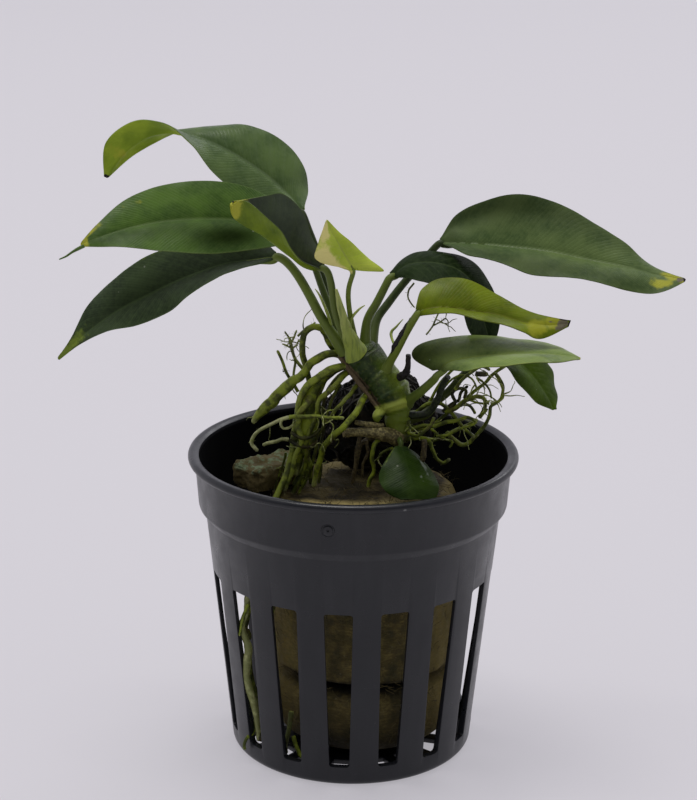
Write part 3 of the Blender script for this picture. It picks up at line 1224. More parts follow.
TOP_LEFT_PETIOLE = (
    (-1.4, 2.9, 70.0), (-3.7, 5.0, 74.3), (-4.8, 6.0, 78.9), (-6.2, 6.3, 84.9), (-7.8, 6.2, 89.5),
    (-8.7, 6.0, 92.0),
)
TOP_LEFT_LOOK = {
    "veins": 17, "ruffle": 0.12, "Dark": (0.044, 0.086, 0.018), "Light": (0.095, 0.155, 0.036),
    "Vein": (0.12, 0.17, 0.08), "Back": (0.36, 0.48, 0.03), "Back Dark": (0.2, 0.3, 0.015),
    "tints": {"yellow": ((0.9, 0, 0.05, 1.2, 0.45),), "scorch": ((1, 0, 0.022, 1.5, 1),)},
}

leaf("top_left", TOP_LEFT_BLADE, TOP_LEFT_LOOK)
petiole("top_left", TOP_LEFT_BLADE, TOP_LEFT_PETIOLE, 0.75, 0.55, (0.03, 0.045, 0.012),
        (0.07, 0.1, 0.025), (0.09, 0.12, 0.03))


# The middle left leaf lies level, and the leaf above it shades a part near its front edge. Its tip is
# yellow and ends in a dried whisker.

MIDDLE_LEFT_BLADE = (
    ((-8.8, -1.4, 89.1), (-11.0, -5.0, 89.5), (-16.6, -8.0, 89.4), (-23.0, -10.5, 89.2),
     (-29.1, -12.5, 90.0), (-34.8, -13.5, 91.0), (-39.6, -13.5, 91.0), (-43.2, -13.2, 90.9)),
    ((-9.0, -1.0, 89.6), (-11.8, -1.5, 91.2), (-16.3, -3.0, 92.7), (-22.6, -5.0, 93.7),
     (-29.4, -7.5, 93.9), (-35.6, -10.0, 93.3), (-40.2, -12.0, 92.3), (-43.5, -13.0, 91.2)),
    ((-9.2, -0.8, 90.2), (-12.0, 1.0, 94.6), (-17.0, 0.5, 97.4), (-23.8, -1.5, 99.1), (-30.7, -4.0, 99.0),
     (-36.9, -7.0, 97.0), (-40.8, -10.5, 94.2), (-43.4, -12.8, 91.5)),
)
MIDDLE_LEFT_PETIOLE = (
    (-1.6, 0.9, 70.4), (-4.0, 2.0, 76.4), (-5.6, 1.6, 81.0), (-7.2, 0.3, 85.9),
    (-8.6, -0.8, 88.8),
)
WHISKER = (
    (-42.9, -13.2, 91.0, 0.3), (-43.9, -13.3, 90.5, 0.28), (-44.8, -13.4, 90.0, 0.2),
    (-45.8, -13.4, 89.3, 0.16), (-46.9, -13.4, 88.8, 0.1),
)
MIDDLE_LEFT_LOOK = {
    "veins": 17, "ruffle": 0.14, "gloss": 0.16, "pale edge": 0.55, "Dark": (0.042, 0.092, 0.012),
    "Light": (0.09, 0.175, 0.022), "Vein": (0.12, 0.18, 0.05), "Back": (0.16, 0.21, 0.04),
    "Back Dark": (0.08, 0.12, 0.02),
    "tints": {
        "yellow": ((0.97, 0, 0.035, 1.3, 1), (0.9, 0.8, 0.07, 0.35, 0.6), (0.7, 0.75, 0.16, 0.25, 0.3)),
        "dim": ((0.37, -0.55, 0.16, 0.42, 0.95), (0.55, -0.35, 0.5, 0.35, 0.4)),
    },
}

leaf("middle_left", MIDDLE_LEFT_BLADE, MIDDLE_LEFT_LOOK, whisker=WHISKER)
petiole("middle_left", MIDDLE_LEFT_BLADE, MIDDLE_LEFT_PETIOLE, 0.65, 0.5, (0.04, 0.06, 0.012),
        (0.085, 0.12, 0.025), (0.1, 0.13, 0.03))


# The lower left leaf hangs in the shade of the two above it. Its near edge curls over, so that a narrow
# strip of the lighter underside shows near the petiole and again near the tip.

LOWER_LEFT_BLADE = (
    ((-13.7, 1.5, 85.2), (-17.6, 0.5, 84.4), (-22.0, 0.5, 82.8), (-27.3, 1.0, 79.6), (-31.5, 2.0, 76.0),
     (-36.6, 4.0, 73.0), (-42.2, 6.5, 71.2), (-46.9, 9.0, 68.2), (-50.6, 10.0, 65.1)),
    ((-13.2, 2.0, 85.7), (-16.7, 3.0, 85.0), (-22.1, 4.0, 83.8), (-27.9, 5.0, 81.4), (-33.6, 6.0, 78.4),
     (-39.0, 7.0, 75.4), (-44.0, 8.5, 71.8), (-47.8, 9.5, 68.4), (-50.9, 10.0, 65.2)),
    ((-13.2, 2.5, 86.4), (-15.5, 6.5, 87.0), (-21.0, 9.0, 87.2), (-28.1, 10.0, 86.1), (-35.6, 10.5, 83.2),
     (-41.3, 11.0, 79.0), (-45.7, 11.0, 74.6), (-48.4, 10.0, 69.2), (-50.9, 10.0, 65.6)),
)
LOWER_LEFT_PETIOLE = (
    (-1.5, -1.1, 70.2), (-3.6, -1.8, 73.4), (-5.6, -2.0, 76.6), (-7.5, -1.4, 80.1),
    (-9.5, 0.1, 83.1), (-11.4, 1.3, 85.0), (-12.8, 1.9, 85.6),
)
LOWER_LEFT_LOOK = {
    "veins": 17, "ruffle": 0.2, "ruffles": 2.2, "gloss": 0.14, "pale edge": 0.5,
    "Dark": (0.017, 0.03, 0.010), "Light": (0.042, 0.068, 0.023), "Vein": (0.09, 0.14, 0.05),
    "Back": (0.11, 0.17, 0.035), "Back Dark": (0.06, 0.1, 0.02), "Yellowed": (0.2, 0.27, 0.03),
    "tints": {
        "yellow": ((1, 0, 0.2, 1.4, 0.9), (0.42, 1, 0.25, 0.12, 0.35)),
        "dim": ((0.55, 0.1, 0.22, 0.5, 0.6), (0.2, -0.2, 0.25, 0.5, 0.5)),
    },
}

leaf("lower_left", LOWER_LEFT_BLADE, LOWER_LEFT_LOOK)
petiole("lower_left", LOWER_LEFT_BLADE, LOWER_LEFT_PETIOLE, 0.85, 0.7, (0.06, 0.085, 0.012),
        (0.14, 0.19, 0.03), (0.15, 0.2, 0.04))


# The curled leaf stands up in the middle. It is rolled, so that its near half shows the bright
# yellow-green underside while the far half is nearly black, with a whitish edge.

CURLED_BLADE = (
    ((-5.6, -4.4, 85.2), (-8.7, -8.0, 87.6), (-10.2, -9.7, 90.2), (-11.6, -11.0, 92.9),
     (-13.5, -12.0, 95.3), (-15.7, -12.3, 97.4), (-17.7, -12.0, 98.3), (-19.4, -11.5, 97.6)),
    ((-5.2, -4.0, 85.4), (-8.0, -6.0, 86.6), (-10.3, -7.5, 88.8), (-12.5, -8.5, 90.7),
     (-14.9, -9.5, 92.7), (-17.3, -10.3, 94.2), (-18.9, -10.8, 95.6), (-19.5, -11.3, 97.6)),
    ((-4.8, -3.7, 86.0), (-5.7, -3.5, 88.2), (-7.0, -3.7, 90.8), (-8.5, -4.0, 94.6), (-11.5, -5.0, 97.7),
     (-14.3, -7.0, 97.9), (-16.8, -9.5, 97.9), (-19.2, -11.2, 97.9)),
)
CURLED_PETIOLE = (
    (-0.2, -2.3, 70.8), (-2.4, -3.4, 75.4), (-3.3, -3.9, 78.6), (-3.7, -4.1, 81.7),
    (-4.2, -4.1, 84.0), (-4.9, -4.0, 85.1),
)
CURLED_LOOK = {
    "camber": 0.03, "veins": 5, "ruffle": 0.08, "pale edge": 0.7, "Dark": (0.024, 0.036, 0.018),
    "Light": (0.05, 0.068, 0.036), "Vein": (0.05, 0.07, 0.02), "Back": (0.16, 0.23, 0.008),
    "Back Dark": (0.07, 0.12, 0.006),
    "tints": {"yellow": ((0.93, 0, 0.12, 1.4, 0.9),), "scorch": ((1, 0.6, 0.012, 0.4, 1),)},
}

leaf("curled", CURLED_BLADE, CURLED_LOOK)
petiole("curled", CURLED_BLADE, CURLED_PETIOLE, 0.65, 0.6, (0.05, 0.075, 0.012), (0.12, 0.16, 0.03),
        (0.13, 0.17, 0.04))


# The small yellow leaf at the centre has lost its green at one side, which is cream, and keeps a soft
# yellow-green at the other.

SMALL_YELLOW_BLADE = (
    ((-0.6, -6.3, 85.7), (-5.0, -8.0, 87.0), (-6.4, -9.0, 88.4), (-5.8, -8.5, 90.6), (-5.2, -8.0, 92.4),
     (-4.6, -7.6, 94.0)),
    ((-0.1, -6.0, 85.3), (-0.7, -6.3, 86.6), (-1.8, -6.6, 88.6), (-2.9, -7.0, 90.7), (-3.9, -7.2, 92.4),
     (-4.4, -7.5, 94.1)),
    ((0.4, -5.7, 85.3), (4.8, -4.0, 84.8), (2.3, -4.5, 87.1), (-0.2, -5.5, 89.7), (-2.5, -6.5, 91.9),
     (-4.2, -7.4, 93.9)),
)
SMALL_YELLOW_PETIOLE = ((0.3, -0.8, 71.0), (-0.8, -2.8, 77.6), (-1.0, -4.4, 81.7), (-0.3, -5.9, 84.9))
SMALL_YELLOW_LOOK = {
    "camber": 0.04, "veins": 8, "ruffle": 0.08, "Dark": (0.38, 0.5, 0.03),
    "Light": (0.55, 0.66, 0.07), "Vein": (0.34, 0.38, 0.09), "Back": (0.34, 0.44, 0.03),
    "Back Dark": (0.24, 0.32, 0.015), "Yellowed": (0.85, 0.76, 0.28),
    "tints": {"yellow": ((0.3, -0.75, 0.35, 0.45, 0.9), (0.8, -0.7, 0.3, 0.5, 0.8))},
}

leaf("small_yellow", SMALL_YELLOW_BLADE, SMALL_YELLOW_LOOK)
petiole("small_yellow", SMALL_YELLOW_BLADE, SMALL_YELLOW_PETIOLE, 0.45, 0.4, (0.07, 0.11, 0.02),
        (0.15, 0.2, 0.03), (0.16, 0.2, 0.04))


# The young round leaf leans over the front of the wool on a short petiole. It is dark, with
# fine veins, a yellow spot on its edge, and grey-green patches on one half.

YOUNG_ROUND_BLADE = (
    ((8.9, -5.6, 55.1), (11.0, -6.0, 53.6), (13.2, -8.0, 51.4), (14.2, -10.8, 50.0), (13.6, -12.6, 48.5)),
    ((7.9, -6.0, 55.4), (8.5, -8.0, 54.4), (9.2, -10.5, 52.5), (10.0, -12.6, 50.4), (10.6, -13.4, 48.7)),
    ((6.9, -6.3, 55.4), (5.3, -8.8, 53.9), (4.2, -11.0, 51.6), (5.4, -13.0, 49.8), (7.9, -13.9, 48.8)),
)
YOUNG_ROUND_PETIOLE = ((7.4, -3.6, 56.6), (7.7, -5.0, 56.1), (7.9, -5.7, 55.7))
YOUNG_ROUND_LOOK = {
    "channel": 0.1, "camber": 0.07, "veins": 8, "ruffle": 0.06, "gloss": 0.12,
    "Dark": (0.010, 0.026, 0.002), "Light": (0.030, 0.062, 0.004), "Vein": (0.030, 0.060, 0.008),
    "Back": (0.05, 0.08, 0.02), "Back Dark": (0.03, 0.05, 0.012), "Yellowed": (0.2, 0.26, 0.03),
    "Dried": (0.34, 0.44, 0.36),
    "tints": {
        "yellow": ((0.15, 0.9, 0.3, 0.1, 0.5),),
        "dry": ((0.4, -0.72, 0.3, 0.16, 0.55), (0.62, -0.4, 0.12, 0.14, 0.45)),
    },
}

leaf("young_round", YOUNG_ROUND_BLADE, YOUNG_ROUND_LOOK)
petiole("young_round", YOUNG_ROUND_BLADE, YOUNG_ROUND_PETIOLE, 0.5, 0.45, (0.05, 0.08, 0.012),
        (0.11, 0.15, 0.03), (0.12, 0.15, 0.03))


# The rhizome leans forward and down from the petioles to its growing end. It is thick and lumpy,
# ringed by the scars of old leaves, with brown corky bark along its left side, a bright pale ring
# near its lower end and a green bud beside it. It was never cut here.

RHIZOME = (
    (0.2, 0.6, 70.7, 1.7), (0.7, 0.5, 69.9, 2.9), (1.7, 0.3, 68.4, 3.35), (3.3, 0.0, 66.6, 3.2),
    (4.9, -0.4, 64.8, 3.25), (6.2, -1.0, 62.9, 3.2), (7.0, -1.5, 61.2, 2.75),
    (7.3, -1.8, 59.8, 2.1), (7.4, -2.2, 58.2, 1.95), (7.6, -2.6, 56.6, 1.85),
    (7.6, -3.0, 55.0, 1.5),
)
LEAF_SCARS = (0.13, 0.31, 0.47, 0.73)
PALE_RING = 0.60
BARK_LINE = (
    (-2.4, -0.9, 69.6), (-1.5, -1.7, 68.3), (-0.4, -2.3, 66.9), (0.8, -2.8, 65.4),
    (1.9, -3.1, 64.0), (3.0, -3.5, 62.6), (4.1, -3.7, 61.2),
)
BARK_REACH = 0.95
BARK_RIDGE = (0.5, 0.35)
LOW_STARTS = 60.2
LOW_LENGTH = 4.5
LUMPS = ((1.9, -3.0, 69.2, 1.8, 0.6), (4.9, -3.4, 65.2, 1.5, 0.6), (4.4, -3.4, 62.8, 1.0, 0.5))
BUD = ((5.0, -3.0, 60.9, 0.6), (4.3, -3.8, 60.5, 0.85), (3.9, -4.2, 59.8, 0.8), (3.9, -4.3, 59.0, 0.35))
STEM_RINGS = 170
STEM_SIDES = 64


def stem_shape(share, angle):
    """A lumpy stem with a worn groove and a swelling at each scar, and a swollen pale ring."""
    lean = 0.012 * math.sin(angle + 40 * share) + 0.008 * math.sin(3 * angle)
    groove = max(stroke(share + lean, scar, 0.008) for scar in LEAF_SCARS)
    factor = 1 + 0.10 * noise.noise(Vector((share * 9, math.cos(angle) * 1.2, math.sin(angle) * 1.2)))
    factor += 0.03 * noise.noise(Vector((share * 30, math.cos(angle) * 3, math.sin(angle) * 3)))
    factor += 0.10 * max(stroke(share + lean, scar + 0.035, 0.03) for scar in LEAF_SCARS)
    worn = 0.5 + noise.noise(Vector((share * 12, math.cos(angle) * 2, math.sin(angle) * 2)))
    return factor - 0.10 * worn * groove + 0.17 * stroke(share, PALE_RING, 0.022)


def worn_shape(seed, depth, cut_at=2.0):
    """An uneven shape; past the cut it stays full, so that the end is flat."""
    def shape(share, angle):
        place = Vector((share * 11 + seed, math.cos(angle) * 1.3, math.sin(angle) * 1.3))
        return 1 + depth * noise.noise(place) + 0.4 * depth * noise.noise(place
                                                                          * 3.3) + 0.1 * (share > cut_at)
    return shape


def fill_layer(bm, label, value):
    """Lets each point carry a value that is worked out from where it is, in millimetres."""
    layer = bm.verts.layers.float.get(label) or bm.verts.layers.float.new(label)
    for vert in bm.verts:
        vert[layer] = value(vert.co / MM)


def nearest(rows, place):
    """How far the place is from the nearest of the points in the rows."""
    return min((place - Vector(row[:3])).length for row in rows)


bm = bmesh.new()
tube_into(bm, RHIZOME, STEM_RINGS, STEM_SIDES, stem_shape)
for vert in bm.verts:
    for x, y, z, reach, height in LUMPS:
        away = vert.co / MM - Vector((x, y, z))
        vert.co += MM * height * math.exp(-((away.length / reach) ** 2)) * Vector((0, -0.8, 0.6))
tube_into(bm, BUD, 40, 20)
tube_into(bm, with_radius(BARK_LINE, *BARK_RIDGE), 90, 18, worn_shape(2.0, 0.3))
close_tubes(bm)
bark_points = [Vector(on_curve(BARK_LINE, index / 40)) for index in range(41)]
ring_place = Vector(on_curve(RHIZOME, PALE_RING)[:3])
ring_axis = (Vector(on_curve(RHIZOME, PALE_RING + 0.02)[:3]) - ring_place).normalized()
fill_layer(bm, "bark", lambda place: stroke(nearest(bark_points, place), 0, BARK_REACH))
fill_layer(bm, "ring", lambda place: stroke((place - ring_place).dot(ring_axis), 0, 0.95))
fill_layer(bm, "low", lambda place: min(max((LOW_STARTS - place.z) / LOW_LENGTH, 0.0), 1.0))


def rhizome_finish():
    """Waxy green, darker on the shaded right, with yellow-green tops, brown bark and a pale ring."""
    finish, tree, shader = new_material("rhizome", 0.4, 0.28)
    place = object_place(tree)
    along = reading(tree, "along")
    topside = reading(tree, "topside")
    shade = mix(tree, patchy(tree, place, 3.0, 0.35, 0.65), rgb(0.010, 0.024, 0.006),
                rgb(0.032, 0.062, 0.008))
    tops = plus(tree, topside, minus(tree, cloud(tree, place, 1.6), 0.5))
    tops = times(tree, step(tree, tops, 0.1, 0.9), step(tree, along, 0.22, 0.42, 0.15, 0.9))
    tops = calc(tree, "MAXIMUM", tops, step(tree, along, 0.54, 0.64, 0.0, 0.75))
    shade = mix(tree, tops, shade, rgb(0.17, 0.24, 0.015))
    shade = mix(tree, patchy(tree, place, 0.8, 0.52, 0.75, 0.0, 0.5, detail=6.0), shade,
                rgb(0.17, 0.20, 0.05))
    rings = cloud(tree, object_place(tree, (2.5, 2.5, 0.7)), 0.6, detail=6.0)
    shade = mix(tree, step(tree, rings, 0.55, 0.72, 0.0, 0.55), shade, rgb(0.035, 0.026, 0.010))
    bark_field = plus(tree, reading(tree, "bark"),
                      times(tree, minus(tree, cloud(tree, place, 0.9, detail=6.0), 0.5), 1.0))
    bark = step(tree, bark_field, 0.42, 0.62)
    bark_tone = mix(tree, cloud(tree, place, 0.5), rgb(0.06, 0.04, 0.02), rgb(0.20, 0.15, 0.08))
    shade = mix(tree, bark, shade, bark_tone)
    low = times(tree, reading(tree, "low"), patchy(tree, place, 1.0, 0.3, 0.6, 0.6, 1.0))
    stained = mix(tree, step(tree, reading(tree, "low"), 0.35, 1.0), rgb(0.15, 0.18, 0.012),
                  rgb(0.060, 0.052, 0.016))
    shade = mix(tree, low, shade, stained)
    ring = minus(tree, reading(tree, "ring"), times(tree, cloud(tree, place, 1.2), 0.35))
    shade = mix(tree, step(tree, ring, 0.05, 0.6, 0.0, 0.85), shade, rgb(0.44, 0.52, 0.08))
    ends = step(tree, along, 0.0, 0.05, 0.6, 0.0)
    shade = mix(tree, ends, shade, rgb(0.020, 0.028, 0.008))
    feed(tree, shader.inputs["Base Color"], shade)
    feed(tree, shader.inputs["Roughness"], step(tree, bark, 0.0, 1.0, 0.42, 0.85))
    bump(tree, shader, plus(tree, times(tree, rings, 1.2), cloud(tree, place, 0.3)), 0.12, 0.8)
    return finish


add_piece("rhizome_ringed", bm, rhizome_finish(), sharp=80, nodes=("rhizome",))


# Papery sheaths stand round the foot of the newest petioles. They are thin, pale green at the foot
# and cream at the tip, and wrap the stems; one is long and three are short.

SHEATHS = (
    ((0.3, -2.6, 70.2, 2.9), (-0.3, -3.4, 72.0, 2.2), (-1.1, -4.4, 74.4, 1.5), (-1.7, -5.2, 76.8, 1.1),
     (-2.5, -5.6, 79.8, 0.75), (-3.0, -5.8, 82.2, 0.3)),
    ((-3.9, -2.0, 75.1, 0.55), (-4.5, -2.3, 77.2, 0.5), (-5.7, -2.7, 80.2, 0.35),
     (-6.5, -3.0, 81.5, 0.12)),
    ((-0.7, -2.5, 74.0, 0.6), (-0.6, -2.8, 76.2, 0.5), (0.6, -3.2, 78.0, 0.35), (1.7, -3.5, 78.9, 0.12)),
    ((6.5, -5.2, 72.8, 0.3), (6.1, -2.9, 74.0, 0.5), (7.0, -3.3, 75.3, 0.35), (8.0, -3.6, 76.6, 0.12)),
)


def sheath_shape(share, angle):
    """A wrap that is flat, with a crease in front."""
    factor = 0.66 + 0.12 * math.cos(2 * angle) - 0.10 * stroke(math.sin(angle), -1, 0.5)
    return factor + 0.08 * noise.noise(Vector((share * 7, math.cos(angle), math.sin(angle))))


def sheath_finish():
    finish, tree, shader = new_material("papery sheath", 0.5, 0.4)
    place = object_place(tree)
    along = reading(tree, "along")
    streaks = cloud(tree, object_place(tree, (1, 1, 7)), 0.45)
    shade = mix(tree, step(tree, along, 0.1, 0.9), rgb(0.30, 0.38, 0.05), rgb(0.40, 0.45, 0.12))
    shade = mix(tree, step(tree, streaks, 0.42, 0.7, 0.0, 0.6), shade, rgb(0.10, 0.15, 0.025))
    shade = mix(tree, patchy(tree, place, 1.2, 0.58, 0.72, 0.0, 0.4), shade, rgb(0.16, 0.13, 0.05))
    feed(tree, shader.inputs["Base Color"], shade)
    bump(tree, shader, streaks, 0.08, 0.8)
    return finish


bm = bmesh.new()
for rows in SHEATHS:
    tube_into(bm, rows, 60, 22, sheath_shape)
close_tubes(bm)
add_piece("papery_sheaths", bm, sheath_finish(), sharp=70, nodes=("sheath",))


# Three cut or broken parts have died: the black stub of a petiole in front of the rhizome, with a
# black strip beside it, the cut petiole to the right, and the old root, sawn off, whose pale cut end
# looks to the left and has a brown strand over it.

BLACK_STUB = (
    (7.0, -1.8, 65.8, 0.6), (8.4, -2.6, 66.8, 0.7), (8.9, -3.0, 68.2, 0.5),
    (9.0, -3.2, 70.4, 0.4),
)
BLACK_STRIP = (
    (10.0, -8.6, 79.0, 0.15), (9.2, -7.9, 77.6, 0.4), (8.3, -7.1, 75.9, 0.5),
    (7.4, -6.3, 74.1, 0.5), (6.6, -5.6, 72.5, 0.4), (6.2, -4.9, 71.2, 0.2),
)
CUT_PETIOLE = (
    (8.8, -2.0, 59.4, 0.65), (12.2, -1.9, 59.8, 0.613), (13.9, -2.4, 62.2, 0.575),
    (14.7, -3.2, 65.1, 0.537), (15.6, -4.0, 66.9, 0.5),
)
OLD_ROOT = (
    (7.6, -3.4, 55.9, 1.5), (5.4, -4.6, 56.9, 1.25), (3.0, -5.4, 57.5, 0.95),
    (0.6, -6.2, 57.8, 0.75), (-1.7, -6.7, 57.9, 0.75),
)
BROWN_STRAND = (
    (0.2, -5.6, 59.4, 0.35), (1.2, -5.7, 59.2, 0.42), (3.0, -5.2, 58.8, 0.45),
    (4.9, -4.4, 58.4, 0.4),
)


def dead_finish(name, dark, light, end):
    """Dead tissue with lengthwise wrinkles, and its own colour on the cut end."""
    finish, tree, shader = new_material(name, 0.6, 0.4)
    place = object_place(tree)
    wrinkles = cloud(tree, place, 0.45, detail=6.0)
    shade = mix(tree, step(tree, wrinkles, 0.4, 0.68), rgb(*dark), rgb(*light))
    at_end = step(tree, reading(tree, "along"), 0.985, 0.995)
    shade = mix(tree, at_end, shade, rgb(*end))
    feed(tree, shader.inputs["Base Color"], shade)
    bump(tree, shader, wrinkles, 0.14, 0.9)
    return finish


black_dead = dead_finish("black stub", (0.004, 0.003, 0.003), (0.018, 0.013, 0.010), (0.010, 0.008, 0.006))
bm = bmesh.new()
tube_into(bm, BLACK_STUB, 60, 20, worn_shape(1.0, 0.22))
tube_into(bm, BLACK_STRIP, 60, 14, worn_shape(7.0, 0.35))
close_tubes(bm)
add_piece("black_stub_and_strip", bm, black_dead, nodes=("black_stub",))

dark_dead = dead_finish("cut petiole", (0.008, 0.012, 0.003), (0.028, 0.042, 0.010), (0.012, 0.010, 0.006))
bm = bmesh.new()
tube_into(bm, CUT_PETIOLE, 80, 18, worn_shape(3.0, 0.12))
close_tubes(bm)
add_piece("cut_petiole", bm, dark_dead, nodes=("stalk_cut_right",))

brown_dead = dead_finish("old root", (0.075, 0.062, 0.020), (0.28, 0.24, 0.085), (0.34, 0.27, 0.12))
bm = bmesh.new()
tube_into(bm, OLD_ROOT, 90, 22, worn_shape(5.0, 0.14, 0.97))
tube_into(bm, BROWN_STRAND, 50, 12, worn_shape(9.0, 0.2))
close_tubes(bm)
add_piece("old_root_sawn", bm, brown_dead, sharp=50, nodes=("old_root_stub",))


# The living roots are olive green with pale growing tips. They leave the rhizome in a bundle at the
# left and in a tangle at the right; a few run on down between the wool and the wall, seen in the slots.
# Each has its radius at both ends, its tone, from 0, dark, to 1, whitish, and its points.

